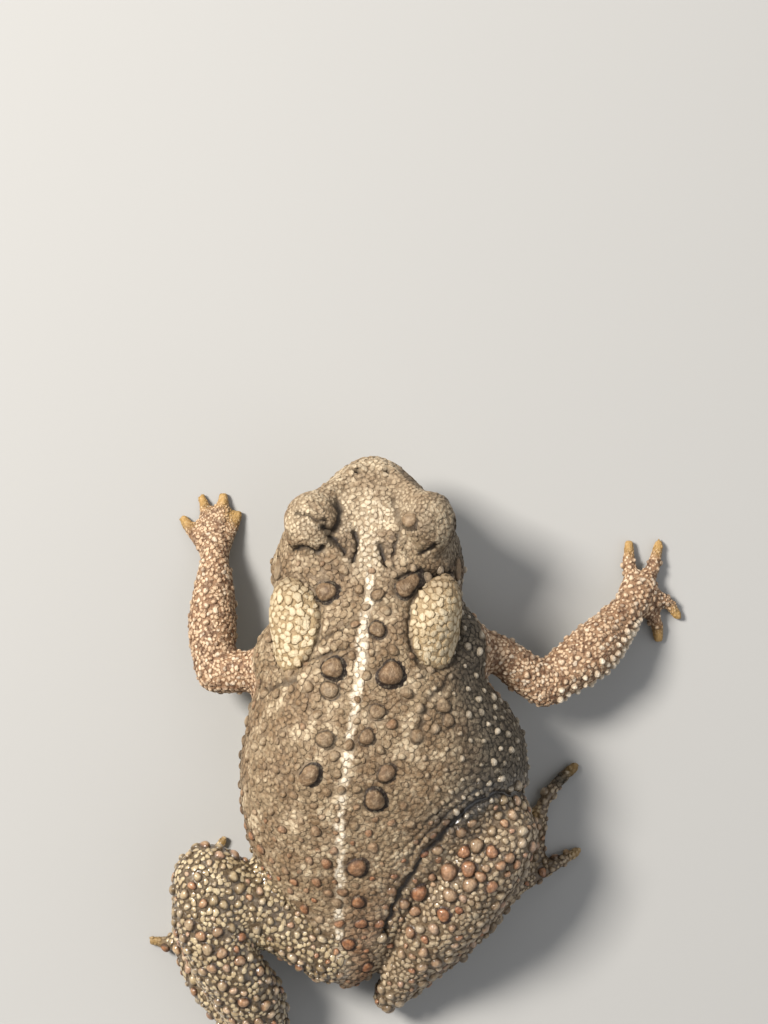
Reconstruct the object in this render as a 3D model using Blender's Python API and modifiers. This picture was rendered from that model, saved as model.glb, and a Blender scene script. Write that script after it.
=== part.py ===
"""An American toad at rest, life size, as a still model.

Shapes are laid out in millimetres to the toad's right, ahead of it and up from the floor.
The model's frame has +Z up, the head towards -Y, and the toad's right towards -X.
"""

import math
import random

import bmesh
import bpy
from mathutils import Matrix, Vector
from mathutils.bvhtree import BVHTree

MM = 0.001
GAP = 0.3
RING_POINTS = 40
SEED = 12

# Body sections, from the vent to the neck: forward, left edge, right edge, ridge, back, belly, widest height.
TORSO_STATIONS = [
    (-33.6, -3.2, -1.9, -2.6, 9.0, 7.0, 7.8),
    (-32.0, -5.2, 0.4, -2.8, 10.6, 5.2, 7.8),
    (-28.0, -8.2, 4.2, -3.3, 13.0, 3.0, 7.8),
    (-23.0, -11.4, 9.2, -3.6, 15.8, 1.0, 8.0),
    (-17.0, -14.8, 14.6, -3.6, 19.2, -0.5, 8.4),
    (-10.0, -17.1, 20.8, -3.4, 22.6, -0.8, 8.6),
    (-3.0, -17.7, 23.0, -3.0, 25.2, -0.8, 8.8),
    (4.0, -16.8, 21.7, -2.0, 26.0, -0.8, 9.4),
    (11.0, -14.9, 16.6, -1.0, 25.7, 0.4, 10.4),
    (18.0, -12.9, 14.1, 0.0, 24.6, 3.4, 11.2),
    (24.0, -12.8, 13.3, 0.3, 23.0, 5.6, 11.2),
    (28.0, -12.4, 12.9, 0.4, 21.8, 6.2, 11.3),
]
TORSO_ROUNDNESS = 2.2

# Head sections, from the neck to the snout: forward, half width, crown, chin, height of the mouth.
HEAD_STATIONS = [
    (21.0, 12.7, 23.6, 5.2, 11.1),
    (25.0, 13.3, 22.6, 5.9, 11.2),
    (28.5, 12.9, 21.7, 6.1, 11.3),
    (31.5, 11.7, 21.0, 6.4, 11.5),
    (34.5, 9.7, 20.1, 6.9, 11.8),
    (37.2, 7.0, 18.6, 7.8, 12.1),
    (39.4, 4.6, 17.0, 9.0, 12.5),
    (40.8, 2.7, 15.4, 10.4, 12.9),
    (41.5, 0.9, 14.0, 12.2, 13.1),
]
HEAD_ROUNDNESS = 2.5
HEAD_LEAN = 0.042
HEAD_CENTRE = 0.3
NECK = 24.0

EYE_FORWARD = 32.3
EYE_ASIDE = 7.9
EYE_UP = 18.5
EYE_RADIUS = 3.5
LID_SIZE = (4.1, 4.5, 4.2)
LID_RISE = 0.7
FISSURE_ASIDE = 4.4
FISSURE_UP = -0.5
FISSURE_SIZE = (2.7, 3.2, 2.3)

TYMPANUM_FORWARD = 27.2
TYMPANUM_UP = 15.4
TYMPANUM_RADIUS = 1.55
TYMPANUM_DEPTH = 0.9

NOSTRIL_FORWARD = 39.7
NOSTRIL_ASIDE = 2.1
NOSTRIL_RADIUS = 0.42
MOUTH_GROOVE = 0.3
MOUTH_CORNER = 98.0
MOUTH_CENTRE = 29.5

# The parotoid glands: centre, half length, half width, half height, turn seen from above.
PAROTOIDS = {
    "parotoid_left": ((-9.2, 17.9, 20.0), 6.9, 3.7, 2.8, -8.0),
    "parotoid_right": ((9.1, 17.9, 20.3), 7.5, 3.7, 2.9, 15.0),
}
PAROTOID_SLOPE = 34.0
PAROTOID_BOW = 0.12

SHOULDERS = ((-10.5, 13.0, 12.6), (12.0, 14.6, 12.8))
SHOULDER_SIZE = (5.4, 6.2, 6.4)

# The bony crest inside each lid and behind it: from the head's middle, forward, up, radius.
CREST = (
    (3.5, 36.0, 18.6, 0.55), (3.6, 33.0, 20.1, 0.75), (3.7, 30.0, 20.9, 0.85),
    (4.6, 27.6, 21.2, 0.85), (7.6, 26.6, 20.6, 0.8), (10.4, 26.6, 18.6, 0.7),
)
# The ridge from the lid to the nostril, its first point measured from the eye and its second from the middle.
CANTHUS = ((-1.6, 3.6, 18.4, 1.5), (1.9, 39.5, 15.6, 1.2))
CHEEK = (11.0, 25.6, 11.6)
CHEEK_SIZE = (2.6, 3.4, 3.2)
MOUTH_UP = 12.2
MOUTH_FALL = (0.5, 0.7)
MOUTH_STEPS = 30

# Each soft solid: the size of its wrap, how often it is smoothed, and about how many triangles it keeps.
FLESH = {
    "torso": (0.8, 8, 1700),
    "head": (0.45, 5, 2500),
    "upper_arm": (0.6, 4, 300),
    "forearm": (0.6, 4, 380),
    "hand": (0.4, 3, 660),
    "thigh": (0.7, 4, 420),
    "shank": (0.7, 4, 580),
    "tarsus": (0.6, 4, 280),
    "foot": (0.4, 3, 840),
}

# Each limb is a chain of segments. A segment has its points, each with a radius, from its root outwards.
ARMS = {
    "left": {
        "shoulder": (-9.5, 12.5, 10.5, 3.6),
        "upper_mid": (-16.0, 11.6, 9.4, 3.0),
        "elbow": (-21.4, 10.8, 7.6, 3.0),
        "fore_mid": (-21.8, 18.5, 5.9, 3.6),
        "wrist": (-21.6, 27.2, 3.5, 2.3),
        "palm": (-21.9, 29.3, 1.9, 2.3),
        "digits": (
            ((-20.4, 29.8), (-19.3, 31.8), (-18.6, 33.6)),
            ((-21.3, 30.8), (-20.8, 33.4), (-20.6, 36.2)),
            ((-22.6, 30.7), (-23.2, 33.2), (-23.7, 35.9)),
            ((-23.4, 29.4), (-25.0, 31.0), (-26.4, 32.9)),
        ),
    },
    "right": {
        "shoulder": (11.0, 16.4, 10.8, 3.8),
        "upper_mid": (18.6, 13.8, 9.8, 2.8),
        "elbow": (25.2, 9.1, 8.2, 3.2),
        "fore_mid": (32.2, 14.2, 6.3, 3.9),
        "wrist": (37.6, 20.0, 3.8, 2.5),
        "palm": (39.3, 21.9, 2.0, 2.6),
        "digits": (
            ((38.5, 23.4), (38.1, 26.2), (38.1, 29.3)),
            ((40.3, 23.4), (41.6, 26.2), (42.4, 29.3)),
            ((41.2, 21.8), (43.6, 20.8), (45.2, 18.8)),
            ((40.4, 20.2), (42.0, 17.8), (42.4, 15.6)),
        ),
    },
}
FINGER_RADII = (1.25, 1.0, 0.82)

LEGS = {
    "left": {
        "hip": (-4.6, -27.8, 8.6, 5.0),
        "thigh_mid": (-12.5, -23.2, 9.8, 4.8),
        "knee": (-22.0, -17.6, 11.6, 5.2),
        "shank_top": (-21.4, -23.0, 11.2, 5.7),
        "shank_mid": (-18.4, -30.0, 9.6, 5.9),
        "ankle": (-12.8, -44.6, 4.6, 3.1),
        "heel": (-24.2, -33.4, 2.5, 2.2),
        "sole": (-25.3, -28.6, 1.7, 2.2),
        "digits": (
            ((-24.0, -29.0), (-22.4, -27.4), (-21.4, -25.4)),
            ((-24.4, -27.6), (-22.6, -24.4), (-21.4, -21.0)),
            ((-25.0, -26.8), (-24.0, -22.0), (-22.6, -16.8)),
            ((-25.8, -26.6), (-25.4, -20.4), (-20.6, -13.6)),
            ((-26.4, -28.6), (-28.8, -28.4), (-31.0, -28.2)),
        ),
    },
    "right": {
        "hip": (1.2, -26.2, 8.4, 5.0),
        "thigh_mid": (9.8, -18.6, 8.2, 4.6),
        "knee": (18.9, -11.0, 12.4, 5.5),
        "shank_top": (16.4, -14.6, 12.8, 6.2),
        "shank_mid": (12.0, -20.8, 11.2, 6.4),
        "ankle": (2.8, -34.8, 4.6, 3.1),
        "heel": (15.4, -26.6, 2.5, 2.2),
        "sole": (19.6, -20.4, 1.7, 2.4),
        "digits": (
            ((19.2, -19.0), (19.6, -16.6), (19.8, -14.4)),
            ((20.4, -18.4), (21.6, -14.4), (21.9, -10.6)),
            ((21.4, -18.2), (23.4, -13.6), (23.4, -9.6)),
            ((22.2, -18.8), (26.6, -6.6), (30.2, -3.0)),
            ((21.8, -20.4), (26.2, -17.8), (30.6, -15.2)),
        ),
    },
}
TOE_RADII = (1.2, 0.95, 0.78)
WEB_SHARE = 0.45
WEB_THICKNESS = 0.35

# Large warts of the back: right, forward, radius. A dome's centre is sunk by a share of its radius.
BACK_WARTS = [
    (-5.3, 22.6, 1.4), (5.7, 23.2, 1.35), (1.7, 22.3, 0.85), (1.7, 18.0, 1.1),
    (3.5, 12.1, 1.7), (-4.3, 12.9, 1.5), (-4.7, 10.0, 1.3), (-5.3, 3.4, 1.2),
    (-7.1, -1.3, 1.3), (-8.1, -2.5, 1.2), (1.4, -4.9, 1.5), (1.7, 7.1, 1.1),
    (0.3, 3.7, 1.1), (2.9, -1.2, 1.2), (7.1, 3.8, 1.1), (10.6, 7.7, 1.1),
    (-1.1, -14.6, 1.35), (-1.0, -19.8, 0.95), (-0.6, -23.1, 0.9), (-2.4, -26.2, 1.0),
]
SHANK_WARTS = {
    "right": [
        (11.5, -15.6, 1.25), (7.4, -18.7, 1.2), (14.2, -15.1, 1.1), (11.7, -18.8, 1.05),
        (14.4, -17.3, 1.05), (10.8, -21.6, 1.0), (15.3, -11.9, 1.05), (17.4, -12.8, 0.9),
        (19.8, -13.7, 0.85), (13.1, -9.9, 0.85), (6.3, -24.4, 0.85), (9.9, -12.6, 0.8),
        (17.4, -17.6, 0.9), (5.6, -20.6, 0.85),
    ],
    "left": [
        (-24.3, -23.0, 0.9), (-22.0, -25.0, 0.9), (-21.8, -28.4, 0.9), (-18.4, -27.1, 0.95),
        (-19.4, -23.4, 0.85), (-17.4, -30.6, 0.9), (-21.2, -31.6, 0.9), (-17.0, -35.0, 0.85),
        (-19.6, -36.2, 0.8), (-15.2, -32.6, 0.8),
    ],
}
FOREARM_WARTS = {
    "right": [(29.6, 9.6, 0.6), (31.6, 11.2, 0.65), (33.5, 12.7, 0.65), (35.4, 14.4, 0.6), (37.0, 16.2, 0.55)],
    "left": [(-23.6, 14.2, 0.6), (-24.4, 16.8, 0.65), (-24.6, 19.4, 0.6), (-24.2, 22.0, 0.55)],
}
FLANK_WARTS = 12
FLANK_WART_RADIUS = (0.75, 1.0)
WART_SUNK = 0.42
WART_SIDES = 7
WART_RINGS = 4

COLOURS = {
    "skin": (0.27, 0.20, 0.13, 0.62),
    "gland": (0.55, 0.41, 0.24, 0.55),
    "leg_skin": (0.24, 0.17, 0.11, 0.45),
    "digit_skin": (0.42, 0.29, 0.15, 0.5),
    "ear": (0.30, 0.19, 0.12, 0.5),
    "eye": (0.45, 0.30, 0.08, 0.12),
}


def toad_point(right, forward, up):
    """Millimetres to the toad's right, ahead and up, as a point of the model in metres."""
    return Vector((-right, -forward, up)) * MM


def clear_scene():
    for obj in list(bpy.data.objects):
        bpy.data.objects.remove(obj, do_unlink=True)


def new_collection(name):
    collection = bpy.data.collections.new(name)
    bpy.context.scene.collection.children.link(collection)
    return collection


def material_for(name):
    """One Principled material for each kind of surface."""
    material = bpy.data.materials.get(name)
    if material is None:
        red, green, blue, roughness = COLOURS[name]
        material = bpy.data.materials.new(name)
        material.use_nodes = True
        shader = material.node_tree.nodes["Principled BSDF"]
        shader.inputs["Base Color"].default_value = (red, green, blue, 1.0)
        shader.inputs["Roughness"].default_value = roughness
        shader.inputs["Metallic"].default_value = 0.0
        material.diffuse_color = (red, green, blue, 1.0)
    return material


def object_from(bm, name, collection):
    mesh = bpy.data.meshes.new(name)
    bm.to_mesh(mesh)
    bm.free()
    obj = bpy.data.objects.new(name, mesh)
    collection.objects.link(obj)
    return obj


def bake_modifiers(obj):
    """Replaces an object's mesh by what its modifiers make of it."""
    depsgraph = bpy.context.evaluated_depsgraph_get()
    mesh = bpy.data.meshes.new_from_object(obj.evaluated_get(depsgraph))
    old = obj.data
    obj.modifiers.clear()
    obj.data = mesh
    bpy.data.meshes.remove(old)
    mesh.name = obj.name


def smooth_value(stations, forward, column):
    """A station value at any place between the stations, on a smooth curve through them."""
    rows = sorted(stations)
    if forward <= rows[0][0]:
        return rows[0][column]
    if forward >= rows[-1][0]:
        return rows[-1][column]
    i = max(k for k in range(len(rows) - 1) if rows[k][0] <= forward)
    x0, x1 = rows[i][0], rows[i + 1][0]
    y0, y1 = rows[i][column], rows[i + 1][column]
    t = (forward - x0) / (x1 - x0)

    def slope(k):
        low, high = rows[max(k - 1, 0)], rows[min(k + 1, len(rows) - 1)]
        return (high[column] - low[column]) / (high[0] - low[0])

    m0, m1 = slope(i) * (x1 - x0), slope(i + 1) * (x1 - x0)
    return (
        (2 * t**3 - 3 * t**2 + 1) * y0
        + (t**3 - 2 * t**2 + t) * m0
        + (-2 * t**3 + 3 * t**2) * y1
        + (t**3 - t**2) * m1
    )


def section(forward, left, right, ridge, top, bottom, widest, roundness):
    """One closed ring of points across the body, from its right edge over the back to its left edge."""
    ring = []
    for k in range(RING_POINTS):
        angle = 2 * math.pi * k / RING_POINTS
        across, rise = math.cos(angle), math.sin(angle)
        reach = (right - ridge) if across > 0 else (ridge - left)
        height = (top - widest) if rise > 0 else (widest - bottom)
        aside = ridge + math.copysign(abs(across) ** (2 / roundness), across) * reach
        up = widest + math.copysign(abs(rise) ** (2 / roundness), rise) * height
        ring.append(toad_point(aside, forward, up))
    return ring


def loft(rings, name, collection):
    """A closed skin through unlike rings, with a face at each end."""
    bm = bmesh.new()
    made = [[bm.verts.new(point) for point in ring] for ring in rings]
    for low, high in zip(made, made[1:]):
        for k in range(RING_POINTS):
            n = (k + 1) % RING_POINTS
            bm.faces.new((low[k], low[n], high[n], high[k]))
    bm.faces.new(made[0])
    bm.faces.new(list(reversed(made[-1])))
    bmesh.ops.recalc_face_normals(bm, faces=bm.faces)
    return object_from(bm, name, collection)


def spread(first, last, step):
    count = max(2, round(abs(last - first) / step) + 1)
    return [first + (last - first) * k / (count - 1) for k in range(count)]


def torso_loft(collection):
    rings = []
    for forward in spread(TORSO_STATIONS[0][0], TORSO_STATIONS[-1][0], 1.5):
        values = [smooth_value(TORSO_STATIONS, forward, c) for c in range(1, 7)]
        rings.append(section(forward, *values, TORSO_ROUNDNESS))
    return loft(rings, "torso_loft", collection)


def head_axis(forward):
    return HEAD_CENTRE + HEAD_LEAN * (forward - NECK)


def head_loft(collection):
    rings = []
    for forward in spread(HEAD_STATIONS[0][0], HEAD_STATIONS[-1][0], 0.8):
        half, crown, chin, mouth = (smooth_value(HEAD_STATIONS, forward, c) for c in range(1, 5))
        middle = head_axis(forward)
        ring = section(
            forward, middle - half, middle + half, middle, crown, chin, mouth, HEAD_ROUNDNESS
        )
        rings.append(ring)
    return loft(rings, "head_loft", collection)


def ellipsoid(name, collection, centre, size, turn=0.0, sides=24, rings=14, tilt=0.0):
    """Half sizes run to the right, forward and up. The turn is seen from above, clockwise."""
    bm = bmesh.new()
    bmesh.ops.create_uvsphere(bm, u_segments=sides, v_segments=rings, radius=1.0)
    place = (
        Matrix.Translation(toad_point(*centre))
        @ Matrix.Rotation(math.radians(-turn), 4, "Z")
        @ Matrix.Rotation(math.radians(tilt), 4, "Y")
        @ Matrix.Diagonal([s * MM for s in size] + [1.0])
    )
    bmesh.ops.transform(bm, matrix=place, verts=bm.verts)
    return object_from(bm, name, collection)


def ball(name, collection, point, radius):
    return ellipsoid(name, collection, point, (radius, radius, radius), sides=16, rings=10)


def tube(name, collection, points, sides=3):
    """A tapered tube through points of (right, forward, up, radius), with round ends, as loose pieces."""
    curve = bpy.data.curves.new(name, "CURVE")
    curve.dimensions = "3D"
    curve.bevel_depth = MM
    curve.bevel_resolution = sides
    curve.resolution_u = 8
    curve.use_fill_caps = True
    curve.use_radius = True
    spline = curve.splines.new("BEZIER")
    spline.bezier_points.add(len(points) - 1)
    for knot, (right, forward, up, radius) in zip(spline.bezier_points, points):
        knot.co = toad_point(right, forward, up)
        knot.radius = radius
        knot.handle_left_type = "AUTO"
        knot.handle_right_type = "AUTO"
    obj = bpy.data.objects.new(name, curve)
    collection.objects.link(obj)
    depsgraph = bpy.context.evaluated_depsgraph_get()
    mesh = bpy.data.meshes.new_from_object(obj.evaluated_get(depsgraph))
    bm = bmesh.new()
    bm.from_mesh(mesh)
    bmesh.ops.remove_doubles(bm, verts=bm.verts, dist=1e-5)
    bmesh.ops.recalc_face_normals(bm, faces=bm.faces)
    bpy.data.meshes.remove(mesh)
    bpy.data.objects.remove(obj, do_unlink=True)
    bpy.data.curves.remove(curve)
    pieces = [object_from(bm, name, collection)]
    for end in (points[0], points[-1]):
        pieces.append(ball(name + "_end", collection, end[:3], end[3]))
    return pieces


def hull(name, collection, balls):
    """The tight wrap of a few small balls, given as points with a radius."""
    bm = bmesh.new()
    for right, forward, up, radius in balls:
        place = Matrix.Translation(toad_point(right, forward, up))
        bmesh.ops.create_icosphere(bm, subdivisions=1, radius=radius * MM, matrix=place)
    found = bmesh.ops.convex_hull(bm, input=bm.verts)
    loose = [item for item in found["geom_interior"] if isinstance(item, bmesh.types.BMVert)]
    bmesh.ops.delete(bm, geom=loose, context="VERTS")
    bmesh.ops.recalc_face_normals(bm, faces=bm.faces)
    return object_from(bm, name, collection)


def flesh(kind, name, pieces, collection):
    """One soft solid from overlapping pieces: wrapped, smoothed and thinned, by the numbers of its kind."""
    voxel, smoothing, triangles = FLESH[kind]
    bm = bmesh.new()
    for piece in pieces:
        bm.from_mesh(piece.data)
        bpy.data.objects.remove(piece, do_unlink=True)
    obj = object_from(bm, name, collection)
    wrap = obj.modifiers.new("wrap", "REMESH")
    wrap.mode = "VOXEL"
    wrap.voxel_size = voxel * MM
    soften = obj.modifiers.new("soften", "SMOOTH")
    soften.factor = 0.5
    soften.iterations = smoothing
    bake_modifiers(obj)
    faces = 2 * len(obj.data.polygons)
    thin = obj.modifiers.new("thin", "DECIMATE")
    thin.ratio = min(1.0, triangles / faces)
    thin.use_collapse_triangulate = True
    bake_modifiers(obj)
    keep_largest(obj)
    return obj


def keep_largest(obj):
    """Keeps the largest closed surface of a mesh and drops the others."""
    bm = bmesh.new()
    bm.from_mesh(obj.data)
    left = set(bm.verts)
    groups = []
    while left:
        start = left.pop()
        group, edge = {start}, [start]
        while edge:
            vert = edge.pop()
            for link in vert.link_edges:
                other = link.other_vert(vert)
                if other in left:
                    left.discard(other)
                    group.add(other)
                    edge.append(other)
        groups.append(group)
    groups.sort(key=len)
    loose = [vert for group in groups[:-1] for vert in group]
    bmesh.ops.delete(bm, geom=loose, context="VERTS")
    bm.to_mesh(obj.data)
    bm.free()


def swollen(obj, by, collection):
    """A copy of a solid that is larger by a distance along its normals."""
    bm = bmesh.new()
    bm.from_mesh(obj.data)
    bm.normal_update()
    moves = [(vert, vert.normal * by * MM) for vert in bm.verts]
    for vert, move in moves:
        vert.co += move
    return object_from(bm, obj.name + "_swollen", collection)


def as_cutter(obj):
    obj.hide_render = True
    obj.display_type = "WIRE"
    return obj


def combine(obj, others, operation, solver="EXACT"):
    """Cuts or joins a solid with others in one Boolean, applies it and removes the others."""
    if not others:
        return
    group = bpy.data.collections.new(obj.name + "_tools")
    bpy.context.scene.collection.children.link(group)
    for other in others:
        for home in list(other.users_collection):
            home.objects.unlink(other)
        group.objects.link(as_cutter(other))
    step = obj.modifiers.new("combine", "BOOLEAN")
    step.operation = operation
    step.operand_type = "COLLECTION"
    step.collection = group
    step.solver = solver
    bake_modifiers(obj)
    for other in list(group.objects):
        bpy.data.objects.remove(other, do_unlink=True)
    bpy.data.collections.remove(group)
    keep_largest(obj)


def beyond(point, direction, cutters, size=90.0):
    """A large block that holds everything past a plane through a point, seen along a direction."""
    bm = bmesh.new()
    bmesh.ops.create_cube(bm, size=size * MM)
    aim = direction.normalized()
    turn = aim.to_track_quat("Z", "Y").to_matrix().to_4x4()
    place = Matrix.Translation(point + aim * (size * MM / 2)) @ turn
    bmesh.ops.transform(bm, matrix=place, verts=bm.verts)
    return object_from(bm, "beyond", cutters)


def floor_block(cutters):
    return beyond(Vector((0.0, 0.0, 0.0)), Vector((0.0, 0.0, -1.0)), cutters, size=200.0)


def near(obj, other):
    """Whether two solids' boxes come within a gap of each other."""
    def box(item):
        points = [vert.co for vert in item.data.vertices]
        low = Vector([min(p[i] for p in points) for i in range(3)])
        high = Vector([max(p[i] for p in points) for i in range(3)])
        return low, high

    (low_a, high_a), (low_b, high_b) = box(obj), box(other)
    reach = 2 * GAP * MM
    return all(low_a[i] - reach < high_b[i] and low_b[i] - reach < high_a[i] for i in range(3))


def clear_of(obj, others, cutters):
    """Cuts a solid back by the gap from each solid that it would touch."""
    for other in others:
        if near(obj, other):
            combine(obj, [swollen(other, GAP, cutters)], "DIFFERENCE")


def split_at(inner, outer, point, direction, cutters):
    """Parts two segments that share a joint by one plane with the gap across it."""
    half = direction.normalized() * (GAP * MM / 2)
    combine(inner, [beyond(point - half, direction, cutters)], "DIFFERENCE")
    combine(outer, [beyond(point + half, -direction, cutters)], "DIFFERENCE")


def between(before, joint, after):
    """The direction across a bent joint, from the inner segment's side to the outer one's."""
    inner = (toad_point(*joint[:3]) - toad_point(*before[:3])).normalized()
    outer = (toad_point(*after[:3]) - toad_point(*joint[:3])).normalized()
    return inner + outer


def surface_under(obj, right, forward):
    """Where a line straight down from above meets a solid, and the way that the surface faces."""
    tree = BVHTree.FromObject(obj, bpy.context.evaluated_depsgraph_get())
    spot, normal, _, _ = tree.ray_cast(toad_point(right, forward, 60.0), Vector((0, 0, -1)))
    return spot, normal


def wart(spot, normal, radius, cutters):
    """A low dome, its centre sunk under the surface that it grows from."""
    bm = bmesh.new()
    bmesh.ops.create_uvsphere(bm, u_segments=WART_SIDES, v_segments=WART_RINGS, radius=radius * MM)
    turn = normal.to_track_quat("Z", "Y").to_matrix().to_4x4()
    place = Matrix.Translation(spot - normal * (WART_SUNK * radius * MM)) @ turn
    bmesh.ops.transform(bm, matrix=place, verts=bm.verts)
    return object_from(bm, "wart", cutters)


def add_warts(obj, places, cutters):
    domes = []
    for right, forward, radius in places:
        spot, normal = surface_under(obj, right, forward)
        if spot is not None:
            domes.append(wart(spot, normal, radius, cutters))
    combine(obj, domes, "UNION")


def make_torso(parts, cutters):
    pieces = [torso_loft(cutters)]
    for shoulder in SHOULDERS:
        pieces.append(ellipsoid("shoulder", cutters, shoulder, SHOULDER_SIZE))
    torso = flesh("torso", "torso", pieces, parts)
    combine(torso, [floor_block(cutters)], "DIFFERENCE")
    return torso


def crest_path(side):
    """The bony ridge along the inside of the lid and round behind it."""
    path = []
    for offset, forward, up, radius in CREST:
        path.append((head_axis(forward) + side * offset, forward, up, radius))
    return path


def make_head(parts, cutters):
    pieces = [head_loft(cutters)]
    for side in (-1, 1):
        aside = head_axis(EYE_FORWARD) + side * EYE_ASIDE
        lid = (aside, EYE_FORWARD, EYE_UP + LID_RISE)
        pieces.append(ellipsoid("lid", cutters, lid, LID_SIZE))
        pieces += tube("crest", cutters, crest_path(side))
        (back, ahead, *lid_end), (wide, tip, *snout_end) = CANTHUS
        brow = [
            (aside + side * back, EYE_FORWARD + ahead, *lid_end),
            (head_axis(tip) + side * wide, tip, *snout_end),
        ]
        pieces += tube("canthus", cutters, brow)
        wide, forward, up = CHEEK
        cheek = (head_axis(forward) + side * wide, forward, up)
        pieces.append(ellipsoid("cheek", cutters, cheek, CHEEK_SIZE))
    head = flesh("head", "head", pieces, parts)
    back = toad_point(0.0, NECK + GAP / 2, 0.0)
    combine(head, [beyond(back, toad_point(0.0, -1.0, 0.0), cutters)], "DIFFERENCE")
    return head


def make_eyes(head, parts, cutters):
    """Round eyes in sockets, each seen through an opening between its lids."""
    eyes = {}
    for name, side in (("eye_left", -1), ("eye_right", 1)):
        centre = (head_axis(EYE_FORWARD) + side * EYE_ASIDE, EYE_FORWARD, EYE_UP)
        size = (EYE_RADIUS, EYE_RADIUS, EYE_RADIUS)
        eyes[name] = ellipsoid(name, parts, centre, size, sides=16, rings=10)
        room = ball("socket", cutters, centre, EYE_RADIUS + GAP)
        opening = (centre[0] + side * FISSURE_ASIDE, centre[1] + 0.4, centre[2] + FISSURE_UP)
        fissure = ellipsoid("fissure", cutters, opening, FISSURE_SIZE, turn=-side * 14.0)
        combine(head, [room, fissure], "DIFFERENCE")
    return eyes


def carve_face(head, cutters):
    """The line of the mouth round the jaw, and a nostril on each side of the snout."""
    middle = toad_point(head_axis(MOUTH_CENTRE), MOUTH_CENTRE, 0.0)
    path = []
    for k in range(MOUTH_STEPS + 1):
        share = 2 * k / MOUTH_STEPS - 1
        turn = math.radians(MOUTH_CORNER * share)
        way = Vector((-math.sin(turn), -math.cos(turn), 0.0))
        reach = abs(share)
        up = MOUTH_UP - MOUTH_FALL[0] * reach - MOUTH_FALL[1] * reach**4
        start = middle + way * 30 * MM + Vector((0.0, 0.0, up * MM))
        tree = BVHTree.FromObject(head, bpy.context.evaluated_depsgraph_get())
        spot = tree.ray_cast(start, -way)[0]
        if spot is not None:
            path.append((-spot.x / MM, -spot.y / MM, spot.z / MM))
    curve = bpy.data.curves.new("mouth", "CURVE")
    curve.dimensions = "3D"
    curve.bevel_depth = MOUTH_GROOVE * MM
    curve.bevel_resolution = 1
    curve.use_fill_caps = True
    spline = curve.splines.new("POLY")
    spline.points.add(len(path) - 1)
    for knot, point in zip(spline.points, path):
        knot.co = (*toad_point(*point), 1.0)
    line = bpy.data.objects.new("mouth", curve)
    cutters.objects.link(line)
    depsgraph = bpy.context.evaluated_depsgraph_get()
    mesh = bpy.data.meshes.new_from_object(line.evaluated_get(depsgraph))
    bm = bmesh.new()
    bm.from_mesh(mesh)
    bmesh.ops.remove_doubles(bm, verts=bm.verts, dist=1e-5)
    bmesh.ops.recalc_face_normals(bm, faces=bm.faces)
    bpy.data.meshes.remove(mesh)
    bpy.data.objects.remove(line, do_unlink=True)
    combine(head, [object_from(bm, "mouth_groove", cutters)], "DIFFERENCE")
    pits = []
    for side in (-1, 1):
        aside = head_axis(NOSTRIL_FORWARD) + side * NOSTRIL_ASIDE
        spot, _ = surface_under(head, aside, NOSTRIL_FORWARD)
        pit = (aside, NOSTRIL_FORWARD, spot.z / MM - 0.1)
        size = (NOSTRIL_RADIUS * 0.8, NOSTRIL_RADIUS * 1.2, NOSTRIL_RADIUS * 1.6)
        pits.append(ellipsoid("nostril", cutters, pit, size, turn=side * 30.0, sides=8, rings=6))
    combine(head, pits, "DIFFERENCE")


def make_tympana(head, parts, cutters):
    """The round ear drums, each a thin disc let into the side of the head behind the eye."""
    drums = {}
    for name, side in (("tympanum_left", -1), ("tympanum_right", 1)):
        way = toad_point(-side, -0.1, 0.0).normalized()
        start = toad_point(head_axis(TYMPANUM_FORWARD) + side * 25.0, TYMPANUM_FORWARD, TYMPANUM_UP)
        tree = BVHTree.FromObject(head, bpy.context.evaluated_depsgraph_get())
        spot, normal, _, _ = tree.ray_cast(start, way)
        turn = normal.to_track_quat("Z", "Y").to_matrix().to_4x4()

        def disc(label, radius, depth, collection):
            bm = bmesh.new()
            bmesh.ops.create_uvsphere(bm, u_segments=12, v_segments=5, radius=1.0)
            size = Matrix.Diagonal((radius * MM, radius * MM, depth * MM, 1.0))
            place = Matrix.Translation(spot - normal * 0.35 * MM) @ turn @ size
            bmesh.ops.transform(bm, matrix=place, verts=bm.verts)
            return object_from(bm, label, collection)

        drums[name] = disc(name, TYMPANUM_RADIUS, TYMPANUM_DEPTH, parts)
        room = disc("ear_room", TYMPANUM_RADIUS + GAP, TYMPANUM_DEPTH + GAP, cutters)
        combine(head, [room], "DIFFERENCE")
    return drums


def make_parotoids(head, torso, parts, cutters):
    """The long glands behind the eyes, each seated in the shoulder and the back of the head."""
    glands = {}
    for name, (centre, length, width, height, turn) in PAROTOIDS.items():
        size = (width, length, height)
        slope = -PAROTOID_SLOPE if centre[0] > 0 else PAROTOID_SLOPE
        glands[name] = ellipsoid(
            name, parts, centre, size, turn=turn, tilt=slope, sides=16, rings=10
        )
        bend_bean(glands[name], centre, width, length)
        for body in (head, torso):
            if near(body, glands[name]):
                combine(body, [swollen(glands[name], GAP, cutters)], "DIFFERENCE")
    return glands


def bend_bean(obj, centre, width, length):
    """Bows a gland a little round the neck, its ends turned outwards."""
    middle = toad_point(*centre)
    outward = -1.0 if centre[0] > 0 else 1.0
    for vert in obj.data.vertices:
        share = (vert.co.y - middle.y) / (length * MM)
        vert.co.x += outward * PAROTOID_BOW * width * MM * share * share


def digit(name, cutters, path, radii):
    """A finger or toe that lies on the floor, thin towards its tip."""
    points = []
    rises = (0.9, 0.35, 0.0)
    for (right, forward), radius, rise in zip(path, radii, rises):
        points.append((right, forward, radius - 0.25 + rise, radius))
    return tube(name, cutters, points, sides=2)


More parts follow.
